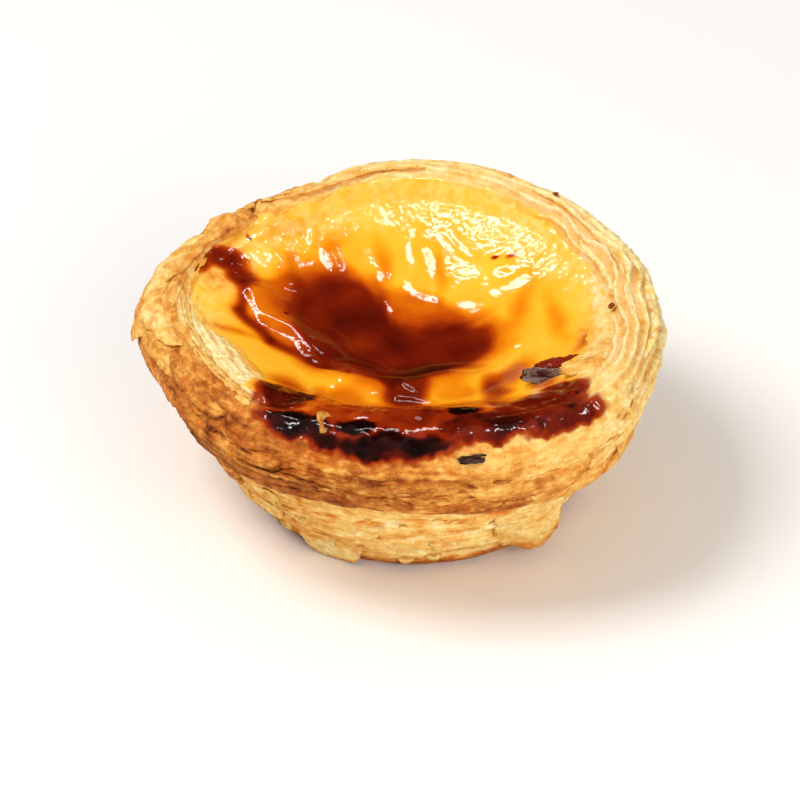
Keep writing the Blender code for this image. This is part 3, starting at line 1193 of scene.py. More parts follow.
def crumbs(place: Array, size: float, seed: int) -> Array:
    """Crisp crumbs: level flakes, which are steps of slow noise, under a finer rough noise.

    Args:
        place: Places in millimetres.
        size: How wide the flakes are.
        seed: Which of many such fields.

    Returns:
        Heights from about -0.6 to 0.9.
    """
    flakes = terraces(2.6 * lumps(place, size, seed, 2, 0.6), 0.7) / 2.6
    return 0.75 * flakes + 0.3 * lumps(place, 0.32 * size, seed + 5, 2, 0.7)


@dataclass(frozen=True)
class RisenRim:
    """The band of pastry that rose over the tin's lip, with its layers, chips and scorched front.

    The zones say how much of each kind of relief there is, by angle in degrees.
    """

    meeting: Meeting = Meeting()
    section: Pairs = (
        (31.6, 29.6), (32.5, 30.6), (33.6, 31.4), (35.0, 31.7), (36.6, 31.0), (37.8, 29.5),
        (38.6, 27.6), (38.1, 24.6), (36.9, 21.4), (35.5, 19.3), (33.9, 18.2), (32.2, 18.6),
        (30.5, 19.5),
    )
    inner_width: float = 7.6
    columns: int = 800
    standing: Pairs = (
        (-45, 0.1), (-20, 0.9), (45, 1.0), (70, 0.6), (100, 0.5), (130, 0.1), (160, 0.25),
        (210, 0.1), (250, 0.0),
    )
    papery: Pairs = (
        (-30, 0.15), (0, 0.0), (60, 0.2), (90, 0.45), (120, 0.3), (150, 1.0), (200, 1.0),
        (225, 0.9), (250, 0.8), (280, 0.6), (305, 0.25),
    )
    crumbly: Pairs = (
        (0, 0.12), (60, 0.15), (95, 0.25), (118, 0.9), (150, 0.7), (175, 0.35), (205, 0.7),
        (225, 1.0), (262, 1.0), (290, 0.8), (312, 0.5), (335, 0.3),
    )
    lumpy: Pairs = (
        (0, 0.25), (60, 0.3), (130, 0.6), (180, 0.3), (230, 0.6), (285, 0.8), (310, 1.0),
        (335, 0.7),
    )

    scorch_depth: Pairs = (
        (205, 4.0), (225, 4.9), (240, 5.6), (262, 6.8), (274, 6.6), (284, 5.2), (296, 5.2),
        (306, 5.8), (318, 6.4), (335, 5.5),
    )
    # How strong the painted shade in the gaps between layers is, by angle.
    gap_shade_strength: Pairs = ((-30, 0.7), (0, 0.65), (60, 0.6), (100, 0.7), (140, 1.0), (290, 1.0))
    crest_tone: Pairs = (
        (0, 0.1), (45, 0.1), (80, 0.17), (110, 0.28), (140, 0.45), (165, 0.36), (186, 0.36),
        (202, 0.52), (235, 0.6), (270, 0.52), (300, 0.34), (330, 0.2),
    )
    waist_tone: Pairs = (
        (0, 0.14), (45, 0.18), (90, 0.28), (135, 0.45), (180, 0.42), (202, 0.66), (235, 0.72),
        (265, 0.54), (285, 0.38), (305, 0.3), (335, 0.2),
    )
    foot_tone: Pairs = (
        (0, 0.28), (60, 0.38), (135, 0.52), (190, 0.6), (215, 0.72), (240, 0.74), (265, 0.6),
        (285, 0.54), (305, 0.42), (335, 0.31),
    )
    inner_tone: Pairs = ((165, 0.24), (188, 0.06), (210, 0.06), (228, 0.24))
    tears: tuple[tuple[float, float, float], ...] = (
        (1.1, math.radians(142.5), math.radians(3.4)),
        (-1.5, math.radians(132.5), math.radians(1.7)),
    )
    ledge_end: tuple[float, float] = (math.radians(31.5), math.radians(29.5))
    hidden_rings: int = 6

    def line(self) -> Section:
        """The shown part of the section, 0 at the custard's edge."""
        return Section(self.section, 1.0)

    def height_at(self, radius: Array) -> Array:
        """The height of the inner slope, from the custard's edge to just over the crest."""
        knots = np.array(self.section[:5])
        return np.interp(radius, knots[:, 0], knots[:, 1])

    def make(
        self, oven: Oven, custard: CustardFilling, browning: Browning, finish: bpy.types.Material
    ) -> bpy.types.Object:
        """Builds the rim as rings: an inner lip on the custard, the shown band, a hidden return.

        Args:
            oven: What makes it uneven.
            custard: The filling that the inner lip lies on.
            browning: What the heat did.
            finish: Its material.

        Returns:
            The rim.
        """
        line = self.line()
        angle = np.linspace(0.0, 2.0 * np.pi, self.columns, endpoint=False)[None, :]
        inner = np.linspace(-self.inner_width, -0.25, 24)[:, None]
        band, foot = np.linspace(0.0, 21.6, 88), np.linspace(22.2, line.length, 5)
        shown = np.concatenate([band, foot])[:, None]
        edge = self.section[0][0]
        s = np.concatenate([inner, shown])
        band_radius, band_height, band_r, band_z = line.at(shown)
        radius = np.concatenate([edge + inner, band_radius])
        x, y = radius * np.cos(angle), radius * np.sin(angle)
        lead = self.meeting.pastry_lead(angle, radius)
        inward = 1.0 - smooth_step(-1.5, 0.5, s)
        lip = custard.top(x[: len(inner)], y[: len(inner)])
        plain = np.concatenate([lip, band_height + 0.0 * angle])
        out_r = np.concatenate([np.full(inner.shape, -0.42), band_r])
        out_z = np.concatenate([np.full(inner.shape, 0.9), band_z])
        lift, marks = self.dress(angle, s, lead, browning, x, y)
        wide = radius + lift * out_r
        level = plain + inward * lead + lift * out_z
        top = on_plan(wide * np.cos(angle), wide * np.sin(angle), level)
        share = np.linspace(0.15, 0.95, self.hidden_rings)[:, None, None]
        first = top[0] - (0.0, 0.0, 1.6)
        points = np.concatenate([top, top[-1] * (1.0 - share) + first * share])
        more = ((0, self.hidden_rings), (0, 0))
        marks = {name: np.pad(mark, more) for name, mark in marks.items()}
        body = Rings(oven.bake(points), Ends.JOINED, marks)
        return make_piece("risen_rim", [body], finish)

    def dress(
        self, angle: Array, s: Array, lead: Array, browning: Browning, x: Array, y: Array
    ) -> tuple[Array, Marks]:
        """The rim's relief and what colours it, as a sum of four kinds weighted by zone.

        Standing sheets are narrow bells of (distance / spacing + slow noise). Papery layers are
        shingles of the same kind. Crumbs and lumps are noise. Where it is scorched, smooth lumps
        take their place.

        Args:
            angle: Angles round the tart.
            s: Distances along the section.
            lead: How far the pastry stands above the custard.
            browning: What the heat did.
            x: Places on the plan.
            y: Places on the plan.

        Returns:
            Heights along the section's normal, and the marks for the finish.
        """
        place = on_plan(CREST_RING * np.cos(angle), CREST_RING * np.sin(angle), s)
        long = place * (0.45, 0.45, 1.0)
        shown = smooth_step(-self.inner_width, -self.inner_width + 2.0, s)
        shown = shown * smooth_step(23.0, 21.0, s)
        open_air = shown * smooth_step(-0.35, 0.15, lead)
        sheets = s / 1.7 + 0.9 * lumps(place * (0.8, 0.8, 0.6), 8.0, 61)
        sheets = sheets + 0.2 * lumps(place, 2.6, 62, 2)
        own = lumps(on_plan(place[..., 0], place[..., 1], np.floor(sheets) * 9.7), 7.0, 63, 2)
        thin = np.exp(-(((sheets - np.floor(sheets) - 0.5) / 0.15) ** 2))
        stand = around(angle, *self.standing) * smooth_step(16.0, 12.0, s)
        stand = stand * smooth_step(-1.0, 1.5, s)
        standing = 0.95 * stand * (0.75 + 0.5 * own) * thin
        leaves = s / 1.55 + 0.9 * lumps(place * (0.7, 0.7, 0.6), 8.0, 64)
        leaves = leaves + 0.25 * lumps(long, 1.8, 65, 2)
        layer = lumps(on_plan(place[..., 0], place[..., 1], np.floor(leaves) * 8.3), 5.0, 66, 2)
        step = shingle(leaves, 0.14)
        paper = around(angle, *self.papery)
        papery = 0.75 * paper * np.clip(0.6 + 0.8 * layer, 0.0, 1.4) * (step - 0.5)
        crumb_zone = around(angle, *self.crumbly)
        crumb = crumbs(long, 1.7, 67)
        lump = lumps(place, 3.0, 68, 2)
        blister, size = cells(place, 1.9, 69)
        blister = np.clip(1.0 - (blister / (0.25 + 0.35 * size)) ** 2, 0.0, 1.0)
        lumpy = around(angle, *self.lumpy)
        plain = standing + papery + 0.6 * crumb_zone * crumb
        plain = plain + lumpy * (0.36 * lump + 0.22 * blister)
        plain = plain + 0.09 * lumps(place, 0.9, 70, 2)
        torn = sum(height * bell(angle, centre, width) for height, centre, width in self.tears)
        plain = plain + torn * smooth_step(0.5, 3.0, s) * smooth_step(12.0, 7.0, s)
        ledge = smooth_step(*self.ledge_end, np.angle(np.exp(1j * angle)))
        ledge = 0.8 * ledge * bell(angle, math.radians(22), math.radians(14))
        plain = plain + ledge * smooth_step(5.0, 9.0, s)
        past = s - around(angle, *self.scorch_depth)
        limit = smooth_step(1.0, -0.8, past + 1.5 * lumps(place, 3.2, 71, 3, 0.7))
        scorch = browning.scorch(x, y) * limit
        burnt = smooth_step(0.3, 0.8, scorch)
        seared = 0.6 * lumps(place, 3.2, 72, 4, 0.55)
        lift = open_air * (plain * (1.0 - burnt) + seared * burnt)
        # Raised papery layers and crumbs brown more; the tops of standing sheets are made paler, a
        # painted highlight.
        proud_and_lit_tops = 0.16 * (step - 0.5) * paper + 0.22 * crumb_zone * crumb - 0.12 * stand * thin
        # Painted shade in the gaps between standing sheets, between papery layers and in crumb
        # pits.
        shade_amount = self.gap_shade_depth(stand, thin, paper * (0.6 + layer), step, crumb_zone * crumb)
        marks = {
            "toast": self.toast(angle, s, place, proud_and_lit_tops),
            "groove": shade_amount * (1.0 - burnt) * around(angle, *self.gap_shade_strength),
            "scorch": scorch,
            "glaze": smooth_step(0.25, -0.1, lead) * smooth_step(2.5, 0.5, s),
        }
        return lift, marks

    def gap_shade_depth(self, stand: Array, thin: Array, paper: Array, step: Array, crumb: Array) -> Array:
        """How deep in a gap between layers each point lies, from 0 to 1, which sets its painted
        shade.

        Args:
            stand: The share of standing sheets.
            thin: The sheets' own height.
            paper: The share of papery layers.
            step: The layers' own height.
            crumb: The crumbs' height.

        Returns:
            The depth.
        """
        gap = np.clip(stand, 0.0, 1.0) * smooth_step(0.6, 0.0, thin)
        slit = np.clip(paper, 0.0, 1.0) * smooth_step(0.3, 0.02, step)
        pit = smooth_step(-0.12, -0.5, crumb)
        return np.clip(np.maximum(np.maximum(0.85 * gap, slit), 0.8 * pit), 0.0, 1.0)

    def toast(self, angle: Array, s: Array, place: Array, relief: Array) -> Array:
        """How brown the rim is: stations round its crest, its waist and its foot, blended by s.

        Args:
            angle: Angles round the tart.
            s: Distances along the section.
            place: Places for noise.
            relief: What stands proud, which browns more; the tops of standing sheets are paler, a
                painted highlight.

        Returns:
            Tones from 0 to 1.
        """
        stations = (self.crest_tone, self.waist_tone, self.foot_tone, self.inner_tone)
        crest, waist, foot, inside = (around(angle, *pairs) for pairs in stations)
        high = smooth_step(9.0, 4.0, s)
        low = smooth_step(11.0, 18.0, s)
        tone = crest * high + waist * (1.0 - high) * (1.0 - low) + foot * low
        inside = inside + 0.16 * lumps(place, 5.0, 75, 2)
        blend = tone * smooth_step(0.0, 2.0, s) + inside * smooth_step(2.0, 0.0, s)
        tone = np.where(s < 0.0, inside, blend)
        tone = tone + 0.12 * lumps(place, 7.0, 74, 3)
        tone = tone + 0.08 * lumps(place * (0.5, 0.5, 1.0), 1.6, 76)
        return np.clip(tone + relief, 0.0, 1.0)


@dataclass(frozen=True)
class Cup:
    """What sat in the tin: a pale wall of short pressed layers, and its base."""

    wall: Pairs = (
        (23.2, 0.0), (24.6, 1.0), (25.7, 3.2), (28.4, 7.0), (31.3, 12.4), (33.3, 17.0),
        (33.7, 18.6), (33.0, 20.2), (31.6, 20.6),
    )
    lining: Pairs = (
        (30.2, 20.0), (26.9, 12.0), (23.2, 4.9), (20.2, 3.1), (1.0, 3.0),
    )
    wall_tone: Pairs = (
        (0, 0.3), (60, 0.34), (140, 0.42), (200, 0.42), (225, 0.4), (250, 0.34), (275, 0.27),
        (300, 0.27), (330, 0.3),
    )
    columns: int = 760

    def line(self) -> Section:
        """The wall's section, 0 at the edge of the base."""
        return Section(self.wall, -1.0)

    def make(self, oven: Oven, finish: bpy.types.Material) -> bpy.types.Object:
        """Builds the cup from the middle of its base, up the wall and back down the lining.

        Args:
            oven: What makes it uneven.
            finish: Its material.

        Returns:
            The cup.
        """
        line = self.line()
        floor = np.linspace(0.4, 22.6, 24)[:, None]
        rise = np.linspace(0.0, line.length, 90)[:, None]
        lining = np.array(self.lining)
        wall_radius, wall_height, wall_r, wall_z = line.at(rise)
        radius = np.concatenate([floor, wall_radius, lining[:, :1]])
        height = np.concatenate([0.0 * floor, wall_height, lining[:, 1:]])
        out_r = np.concatenate([0.0 * floor, wall_r, 0.0 * lining[:, :1]])
        out_z = np.concatenate([0.0 * floor - 1.0, wall_z, 0.0 * lining[:, :1]])
        after = line.length + np.arange(1.0, len(lining) + 1.0)[:, None]
        s = np.concatenate([floor - self.wall[0][0], rise, after])
        angle = np.linspace(0.0, 2.0 * np.pi, self.columns, endpoint=False)[None, :]
        lift, marks = self.dress(angle, s, radius)
        wide = radius + lift * out_r
        tall = np.maximum(height + lift * out_z, 0.0)
        points = on_plan(wide * np.cos(angle), wide * np.sin(angle), tall)
        body = Rings(oven.bake(points), Ends.POLES, marks)
        return make_piece("cup", [body], finish, "pastry_case")

    def dress(self, angle: Array, s: Array, radius: Array) -> tuple[Array, Marks]:
        """The cup's relief and colour: pressed shingles and long flat chips on the wall.

        Args:
            angle: Angles round the tart.
            s: Distances along the section, below 0 on the base.
            radius: The section's radii.

        Returns:
            Heights along the section's normal, and the marks for the finish.
        """
        place = on_plan(radius * np.cos(angle), radius * np.sin(angle), s)
        long = place * (0.36, 0.36, 1.0)
        wall = smooth_step(0.2, 1.6, s) * smooth_step(22.0, 20.5, s)
        layers = s / 1.7 + 0.9 * lumps(place * (0.6, 0.6, 1.0), 5.0, 81, 2)
        step = shingle(layers, 0.2)
        own = lumps(on_plan(place[..., 0], place[..., 1], np.floor(layers) * 7.1), 5.0, 83, 2)
        chips = terraces(3.2 * lumps(long, 2.3, 84, 2, 0.6), 0.75) / 3.2
        pits = smooth_step(0.28, 0.62, lumps(long, 2.0, 85, 2))
        crumb = lumps(place, 1.2, 86, 3, 0.7)
        smooth = smooth_step(4.2, 2.0, s + 0.9 * lumps(place, 6.0, 89, 2))
        rough = wall * (1.0 - 0.75 * smooth)
        layered = np.clip(0.45 + 0.9 * own, 0.0, 1.2)
        wall_lift = 0.42 * layered * (step - 0.6) + 0.42 * chips - 0.45 * pits + 0.1 * crumb
        turns = radius / 2.4 - angle / np.pi + 0.3 * lumps(place, 7.0, 87)
        swirl = np.abs(np.sin(np.pi * turns))
        base = smooth_step(0.0, -1.5, s)
        base_lift = 0.35 * smooth_step(0.5, 0.0, swirl) + 0.12 * (1.0 + lumps(place, 2.2, 88, 3))
        tone = around(angle, *self.wall_tone)
        toast = tone + 0.42 * smooth + 0.12 * lumps(place, 5.0, 90, 2) + 0.24 * chips + 0.06 * crumb
        toast = np.where(s < 0.0, 0.5 + 0.15 * lumps(place, 5.0, 91, 3), toast)
        # Painted shade under layer edges, in pits and, on the base, along the spiral.
        shade_amount = np.clip(layered * smooth_step(0.25, 0.0, step) * 0.8 + pits, 0.0, 1.0)
        marks = {
            "toast": np.clip(toast, 0.0, 1.0),
            "groove": shade_amount * rough + base * smooth_step(0.5, 0.0, swirl),
        }
        return rough * wall_lift - base * base_lift, marks


# --------------------------------------------------------------------------------------
# Leaves of pastry that came loose
# --------------------------------------------------------------------------------------


def sheet(top: Array, thickness: Array, marks: Marks) -> Rings:
    """A thin closed sheet: the top, and under it a copy moved back along the normal.

    Args:
        top: A grid of points.
        thickness: How thick the sheet is at each of them.
        marks: Marks of the top, which the underside repeats.

    Returns:
        The closed sheet.
    """
    normal = np.cross(np.gradient(top, axis=0), np.gradient(top, axis=1))
    normal = normal / (np.linalg.norm(normal, axis=-1, keepdims=True) + 1e-12)
    under = top - normal * thickness[..., None]
    both = {name: np.concatenate([mark, mark[:, ::-1]], axis=1) for name, mark in marks.items()}
    return Rings(np.concatenate([top, under[:, ::-1]], axis=1), Ends.POLES, both)


@dataclass(frozen=True)
class Leaf:
    """A layer of pastry that is rooted in the wall along one side and loose along the other.

    start and end are degrees, root and reach are distances along the wall's section, lift is
    how far the loose side stands off, and flare moves that lift towards the end angle.
    """

    start: float
    end: float
    root: float
    reach: float
    lift: float
    tone: float = 0.4
    thick: float = 0.32
    ragged: float = 0.3
    flare: float = 0.0
    fullness: float = 5.0
    spacing: float = 0.3
    rows: int = 20
    seed: int = 0

    def make(self, line: Section, oven: Oven) -> Rings:
        """Builds the leaf: it runs from root by reach × taper × (1 + ragged noise).

        Across the reach, v goes from 0 to 1, and the leaf stands off by lift × v^1.6.

        Args:
            line: The section of the wall it grows from.
            oven: What makes the wall uneven.

        Returns:
            A thin closed sheet.
        """
        start, end = math.radians(self.start), math.radians(self.end)
        ring = float(line.at(self.root)[0])
        count = max(6, int((end - start) * ring / self.spacing))
        u = np.linspace(0.0, 1.0, count)[:, None]
        v = np.linspace(0.0, 1.0, self.rows)[None, :]
        angle = start + (end - start) * u + 0.0 * v
        there = on_plan(ring * np.cos(angle), ring * np.sin(angle), self.seed * 31.7)
        tear = lumps(there, 4.0, 101 + self.seed, 4, 0.75)
        ends = (1.0 - np.abs(2.0 * u - 1.0) ** self.fullness) ** 0.7
        reach = self.reach * (0.12 + 0.88 * ends) * (1.0 + self.ragged * tear)
        s = self.root + reach * v
        place = on_plan(ring * np.cos(angle), ring * np.sin(angle), s)
        wave = lumps(there, 6.0, 102 + self.seed, 2)
        rise = self.lift * ends * (0.75 + 0.5 * wave) * (1.0 + self.flare * (2.0 * u - 1.0))
        flakes = crumbs(place * (0.5, 0.5, 1.0), 1.8, 103)
        creases = shingle(s / 0.9 + 1.2 * lumps(place * (0.5, 0.5, 1.0), 4.0, 105), 0.2) - 0.5
        lift = -0.35 + 0.5 * smooth_step(0.0, 0.35, v) + rise * v**1.6
        relief = (0.26 * flakes + 0.16 * creases) * smooth_step(0.0, 0.3, v)
        lift = lift + relief * min(1.0, self.thick / 0.3)
        thickness = self.thick * (1.0 - 0.6 * v**3) * (0.25 + 0.75 * ends)
        brown = self.tone + 0.2 * lumps(place, 4.0, 104, 3) + 0.24 * flakes
        brown = brown + 0.14 * smooth_step(0.75, 1.0, v)
        # Painted shade in the pits between flakes and in the creases.
        pits = 0.8 * smooth_step(-0.12, -0.5, flakes)
        marks = {
            "toast": np.clip(brown, 0.0, 1.0),
            "groove": np.maximum(pits, 0.6 * smooth_step(-0.3, -0.5, creases)),
        }
        return sheet(oven.bake(line.raised(angle, s, lift)), thickness, marks)


@dataclass(frozen=True)
class Scrap:
    """A torn scrap of pastry that lies anywhere: a curled sheet with a jagged outline.

    at is its place on the plan, with its height above whatever it lies on. turn, tip and roll
    are degrees about the upright, the crosswise and the lengthwise axis.
    """

    at: tuple[float, float, float]
    half: tuple[float, float]
    turn: float = 0.0
    tip: float = 0.0
    roll: float = 0.0
    curl: float = 0.3
    thick: float = 0.35
    tone: float = 0.4
    scorch: float = 0.0
    seed: int = 0
    ash: float = 0.0

    def make(self, oven: Oven, ground: float) -> Rings:
        """Builds the scrap: half lengths × (1 + jagged noise), lifted at its sides by curl.

        Args:
            oven: What makes the tart uneven.
            ground: The height of what it lies on.

        Returns:
            A thin closed sheet.
        """
        steps = (max(6, int(self.half[0] / 0.12)), max(5, int(self.half[1] / 0.12)))
        u = np.linspace(-1.0, 1.0, steps[0])[:, None]
        v = np.linspace(-1.0, 1.0, steps[1])[None, :]
        seat = on_plan(u * self.half[0], v * self.half[1], self.seed * 13.3)
        across, along = seat * (0, 1, 1), seat * (1, 0, 1)
        jag = [1.0 + 0.5 * lumps(edge, 1.3, 111 + self.seed, 3, 0.8) for edge in (across, along)]
        jag[1] = jag[1] * (1.0 - 0.4 * np.abs(u) ** 6)
        curl = self.curl * (v**2 + 0.4 * u**2) + 0.18 * crumbs(seat, 1.5, 112 + self.seed)
        flat = np.stack([seat[..., 0] * jag[0], seat[..., 1] * jag[1], curl], axis=-1)
        angles = (math.radians(self.roll), math.radians(self.tip), math.radians(self.turn))
        placed = flat @ np.array(Euler(angles).to_matrix()).T
        moved = oven.bake(np.array([self.at]) + (0.0, 0.0, ground))[0]
        thickness = self.thick * (1.0 - 0.5 * np.maximum(np.abs(u), np.abs(v)) ** 4)
        brown = self.tone + 0.2 * lumps(seat, 1.6, 113 + self.seed, 2)
        marks = {
            "toast": np.clip(brown, 0.0, 1.0),
            "scorch": np.full(brown.shape, self.scorch),
            "ash": np.full(brown.shape, self.ash),
        }
        return sheet(placed + moved, thickness, marks)


@dataclass(frozen=True)
class LooseLeaves:
    """Every leaf that came loose from the rim or the cup."""

    left: tuple[Leaf, ...] = (
        Leaf(147, 187, 7.0, 4.6, 2.0, 0.34, seed=1, flare=0.5),
        Leaf(150, 198, 4.2, 3.2, 1.0, 0.3, seed=2),
        Leaf(157, 206, 6.3, 3.0, 0.8, 0.4, seed=3),
        Leaf(163, 212, 10.0, 3.0, 0.7, 0.54, seed=4),
        Leaf(138, 172, 5.2, -2.6, 0.6, 0.42, seed=5),
        Leaf(172, 214, 2.6, -2.8, 0.5, 0.2, seed=6),
        Leaf(135, 162, 8.4, 3.0, 0.6, 0.5, seed=7),
    )
    front: tuple[Leaf, ...] = (
        Leaf(198, 226, 5.4, 2.2, 0.6, 0.6, seed=11),
        Leaf(206, 243, 9.2, 2.6, 0.7, 0.64, seed=12),
        Leaf(212, 252, 13.2, 3.2, 0.6, 0.68, seed=13),
        Leaf(200, 229, 3.0, -2.6, 0.5, 0.3, seed=14),
        Leaf(240, 287, 14.6, -5.4, 0.5, 0.62, ragged=0.12, seed=15),
        Leaf(212, 256, 16.4, -4.6, 0.7, 0.5, seed=16),
        Leaf(206, 262, 17.2, 3.4, 0.5, 0.74, seed=17),
        Leaf(258, 300, 17.0, 3.6, 0.5, 0.62, seed=18),
        Leaf(298, 332, 14.0, 5.2, 0.5, 0.42, seed=19),
        Leaf(283, 312, 11.8, 3.4, 0.5, 0.44, seed=20),
    )
    right: tuple[Leaf, ...] = (
        Leaf(-22, 42, 6.4, 0.8, 1.1, 0.1, seed=21),
        Leaf(-26, 26, 8.6, 0.8, 1.0, 0.12, seed=22),
        Leaf(-12, 54, 4.0, -0.6, 0.9, 0.1, seed=23),
        Leaf(0, 30, 1.8, -0.9, 0.8, 0.1, seed=24),
        Leaf(26, 70, 7.4, 1.2, 0.8, 0.14, seed=25),
    )
    back: tuple[Leaf, ...] = (
        Leaf(55, 111, 5.6, 1.6, 0.7, 0.24, seed=31),
        Leaf(80, 128, 4.0, -1.2, 0.6, 0.3, seed=32),
        Leaf(93, 131, 7.4, 2.0, 0.8, 0.3, seed=33),
    )
    cup: tuple[Leaf, ...] = (
        Leaf(-131, -107, 4.6, -3.2, 0.9, 0.2, seed=41),
        Leaf(-104, -84, 6.6, -2.0, 0.4, 0.26, seed=42),
        Leaf(-84, -60, 9.2, -2.2, 0.4, 0.24, seed=43),
        Leaf(-150, -128, 12.0, -2.4, 0.5, 0.34, seed=44),
        Leaf(-66, -44, 17.4, -12.6, 2.2, 0.24, ragged=0.12, flare=0.95, seed=45),
        Leaf(-120, -98, 12.6, -2.0, 0.4, 0.3, seed=46),
    )

    def make(
        self, oven: Oven, rim: RisenRim, cup: Cup, finish: bpy.types.Material
    ) -> list[bpy.types.Object]:
        """Builds one piece for each group of leaves.

        Args:
            oven: What makes the walls uneven.
            rim: The rim that most of them grow from.
            cup: The cup that the others grow from.
            finish: Their material.

        Returns:
            The pieces.
        """
        rim_line, cup_line = rim.line(), cup.line()
        groups = (
            ("left_leaves", self.left, rim_line),
            ("front_leaves", self.front, rim_line),
            ("right_leaves", self.right, rim_line),
            ("back_leaves", self.back, rim_line),
            ("cup_leaves", self.cup, cup_line),
        )
        return [
            make_piece(name, [leaf.make(line, oven) for leaf in leaves], finish)
            for name, leaves, line in groups
        ]


@dataclass(frozen=True)
class Chips:
    """Small chips that stand off the wall, sown with a fixed seed."""

    rim_count: int = 420
    cup_count: int = 200
    seed: int = 5
    shallow: Pairs = ((120, 5.0), (215, 6.0), (240, 11.5), (300, 11.5), (330, 6.0))

    def make(
        self, oven: Oven, rim: RisenRim, cup: Cup, finish: bpy.types.Material
    ) -> list[bpy.types.Object]:
        """Builds the chips of the rim and of the cup, each as one piece of tiny leaves.

        Args:
            oven: What makes the walls uneven.
            rim: The rim.
            cup: The cup.
            finish: Their material.

        Returns:
            The two pieces.
        """
        draw = np.random.default_rng(self.seed)
        rim_line, cup_line = rim.line(), cup.line()
        places = draw.uniform(118.0, 335.0, self.rim_count)
        depths = draw.uniform(0.0, 1.0, self.rim_count)
        shallow = around(np.radians(places), *self.shallow)
        depths = shallow + (20.0 - shallow) * depths
        turned = np.radians(places)
        ring = on_plan(CREST_RING * np.cos(turned), CREST_RING * np.sin(turned), depths)
        tones = rim.toast(turned, depths, ring, 0.0)
        rim_chips = [
            self.chip(draw, *values, number)
            for number, values in enumerate(zip(places, depths, tones))
        ]
        places = draw.uniform(0.0, 360.0, self.cup_count)
        depths = draw.uniform(1.8, 17.5, self.cup_count)
        cup_chips = [
            self.chip(draw, place, depth, 0.28, number)
            for number, (place, depth) in enumerate(zip(places, depths))
        ]
        groups = (("rim_chips", rim_chips, rim_line), ("cup_chips", cup_chips, cup_line))
        return [
            make_piece(name, [chip.make(line, oven) for chip in chips], finish)
            for name, chips, line in groups
        ]

    def chip(
        self, draw: np.random.Generator, place: float, depth: float, tone: float, number: int
    ) -> Leaf:
        """One chip: a leaf of a few millimetres.

        Args:
            draw: The seeded generator.
            place: Its angle in degrees.
            depth: Its distance along the section.
            tone: How brown its surroundings are.
            number: Its number, which picks its noise.

        Returns:
            The chip.
        """
        wide = draw.uniform(1.6, 6.0)
        reach = draw.uniform(0.5, 1.5) * draw.choice([-1.0, 1.0])
        lift = draw.uniform(0.0, 0.3)
        brown = tone + draw.uniform(-0.14, 0.14)
        size = (place, place + wide, depth, reach, lift, brown)
        return Leaf(
            *size, thick=0.2, ragged=0.5, fullness=2.0, spacing=0.36, rows=5, seed=number
        )


@dataclass(frozen=True)
class Scraps:
    """The scraps that lie on the custard and hang from the wall."""

    lying: tuple[Scrap, ...] = (
        Scrap((19.9, -14.4, 0.6), (2.9, 1.2), -4, 0, 42, 0.1, 0.25, 0.2, 0.92, 1, 0.85),
        Scrap((25.8, -15.0, 0.5), (3.6, 1.1), 6, 0, 36, 0.2, 0.5, 0.36, 0.0, 2),
        Scrap((22.8, -11.0, 0.6), (3.4, 0.7), 22, 0, 30, 0.1, 0.3, 0.9, 0.7, 3),
        Scrap((-10.8, -31.2, 1.1), (1.2, 1.5), 24, 30, 30, 0.3, 1.2, 0.56, 0.0, 3),
    )
    hanging: tuple[Scrap, ...] = (
        Scrap((9.7, -36.2, 30.4), (2.0, 0.6), 12, 0, 42, 0.2, 0.3, 0.3, 0.96, 6, 0.25),
        Scrap((-25.2, -25.2, 18.2), (3.4, 1.4), 45, 58, 0, 0.2, 0.5, 0.62, 0.0, 7),
        Scrap((24.0, 27.0, 31.9), (0.3, 0.7), -40, 0, 0, 0.0, 0.5, 0.9, 0.4, 8),
        Scrap((31.4, -1.2, 30.8), (0.6, 0.4), 60, 0, 0, 0.0, 0.5, 0.9, 0.3, 9),
    )

    def make(
        self, oven: Oven, custard: CustardFilling, finish: bpy.types.Material
    ) -> bpy.types.Object:
        """Builds all scraps as one piece.

        Args:
            oven: What makes the tart uneven.
            custard: The filling that some of them lie on.
            finish: Their material.

        Returns:
            The piece.
        """
        spots = [np.array(scrap.at[:2]) for scrap in self.lying]
        grounds = [float(custard.top(*spot)) for spot in spots]
        parts = [scrap.make(oven, ground) for scrap, ground in zip(self.lying, grounds)]
        parts += [scrap.make(oven, 0.0) for scrap in self.hanging]
        return make_piece("scraps", parts, finish)


# --------------------------------------------------------------------------------------
# Studio
# --------------------------------------------------------------------------------------


class Softbox(Enum):
    """The studio's lights: direction, sides, power, colour, and if only for highlights."""

    KEY = ((-0.54, -0.02, 0.84), (0.4, 0.4), 5.6, (1.0, 0.98, 0.95), False)
    FRONT = ((0.45, -0.78, 0.42), (0.7, 0.7), 5.0, (1.0, 0.91, 0.8), False)
    STRIP = ((-0.233, 0.162, 0.959), (0.13, 0.82), 9.5, (1.0, 1.0, 1.0), True)
    SPARK = ((0.45, 0.2, 0.87), (0.12, 0.12), 1.2, (1.0, 1.0, 1.0), True)


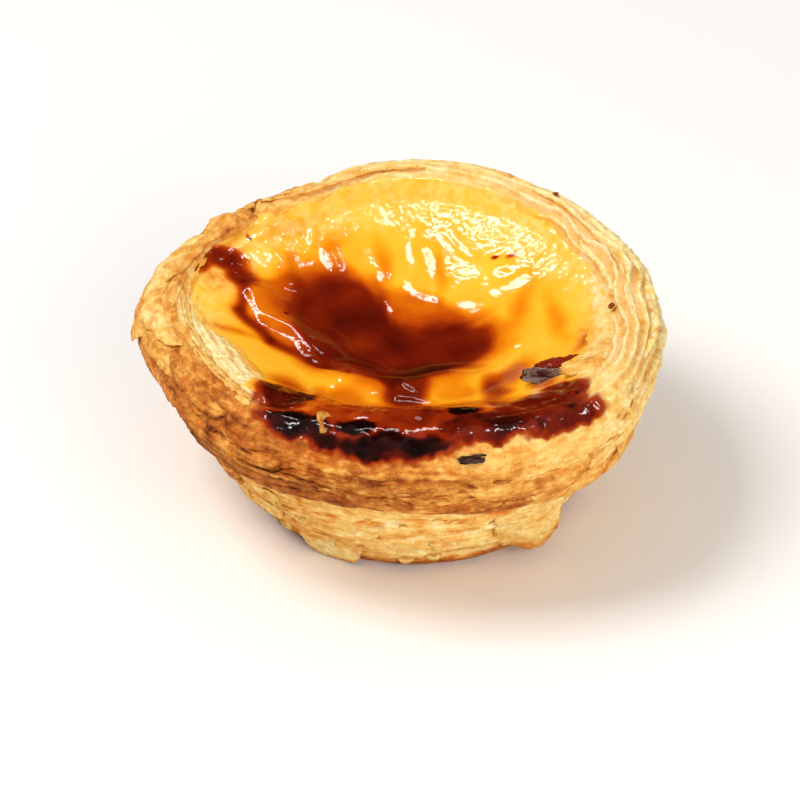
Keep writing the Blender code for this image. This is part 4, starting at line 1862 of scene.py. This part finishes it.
@dataclass(frozen=True)
class Studio:
    """A pale floor, soft lights and the camera."""

    aim: tuple[float, float, float] = (-0.0020, 0.0, 0.0136)
    elevation: float = math.radians(34.0)
    distance: float = 0.6
    lens: float = 178.0
    floor_size: float = 6.0
    light_distance: float = 0.9
    air: float = 0.46

    def make_camera(self) -> None:
        """Places the camera in front of the tart, looking down on it."""
        data = bpy.data.cameras.new("camera")
        data.lens = self.lens
        data.clip_start = 0.01
        camera = bpy.data.objects.new("camera", data)
        back = Vector((0.0, -math.cos(self.elevation), math.sin(self.elevation)))
        camera.location = Vector(self.aim) + back * self.distance
        camera.rotation_euler = back.to_track_quat("Z", "Y").to_euler()
        bpy.context.scene.collection.objects.link(camera)
        bpy.context.scene.camera = camera

    def make_light(self, box: Softbox) -> None:
        """Hangs one softbox, aimed at the tart, its second side running upwards.

        Args:
            box: Which light.
        """
        direction, size, power, colour, glint = box.value
        data = bpy.data.lights.new(box.name.lower(), "AREA")
        data.shape = "RECTANGLE"
        data.size, data.size_y = size
        data.energy = power
        data.color = colour
        light = bpy.data.objects.new(box.name.lower(), data)
        away = Vector(direction).normalized()
        light.location = Vector(self.aim) + away * self.light_distance
        light.visible_glossy = glint
        light.visible_diffuse = not glint
        light.rotation_euler = away.to_track_quat("Z", "Y").to_euler()
        bpy.context.scene.collection.objects.link(light)

    def make_floor(self) -> None:
        """Lays a pale matt floor."""
        half = self.floor_size / 2.0
        mesh = bpy.data.meshes.new("floor")
        corners = [(-half, -half, 0.0), (half, -half, 0.0), (half, half, 0.0), (-half, half, 0.0)]
        mesh.from_pydata(corners, [], [(0, 1, 2, 3)])
        recipe = Recipe("floor_paper")
        recipe.set(Base_Color=(0.9, 0.895, 0.89, 1.0), Roughness=0.75, Specular_IOR_Level=0.2)
        mesh.materials.append(recipe.material)
        floor = bpy.data.objects.new("floor", mesh)
        bpy.context.scene.collection.objects.link(floor)

    def make(self) -> None:
        """Sets up everything round the tart."""
        self.make_camera()
        self.make_floor()
        for box in Softbox:
            self.make_light(box)
        world = bpy.data.worlds.new("studio_air")
        world.use_nodes = True
        background = world.node_tree.nodes["Background"]
        background.inputs["Color"].default_value = (1.0, 1.0, 1.0, 1.0)
        background.inputs["Strength"].default_value = self.air
        world.cycles_visibility.glossy = False
        scene = bpy.context.scene
        scene.world = world
        scene.view_settings.view_transform = "Standard"


def main() -> None:
    """Builds the tart piece by piece, then the studio round it."""
    logging.basicConfig(level=logging.INFO, format="%(name)s: %(message)s")
    oven, browning = Oven(), Browning()
    custard, rim, cup = CustardFilling(), RisenRim(), Cup()
    pastry = FlakyPastry().make()
    custard.make(oven, rim, browning, BakedCustard().make())
    rim.make(oven, custard, browning, pastry)
    cup.make(oven, pastry)
    LooseLeaves().make(oven, rim, cup, pastry)
    Chips().make(oven, rim, cup, pastry)
    Scraps().make(oven, custard, pastry)
    Studio().make()


if __name__ == "__main__":
    main()
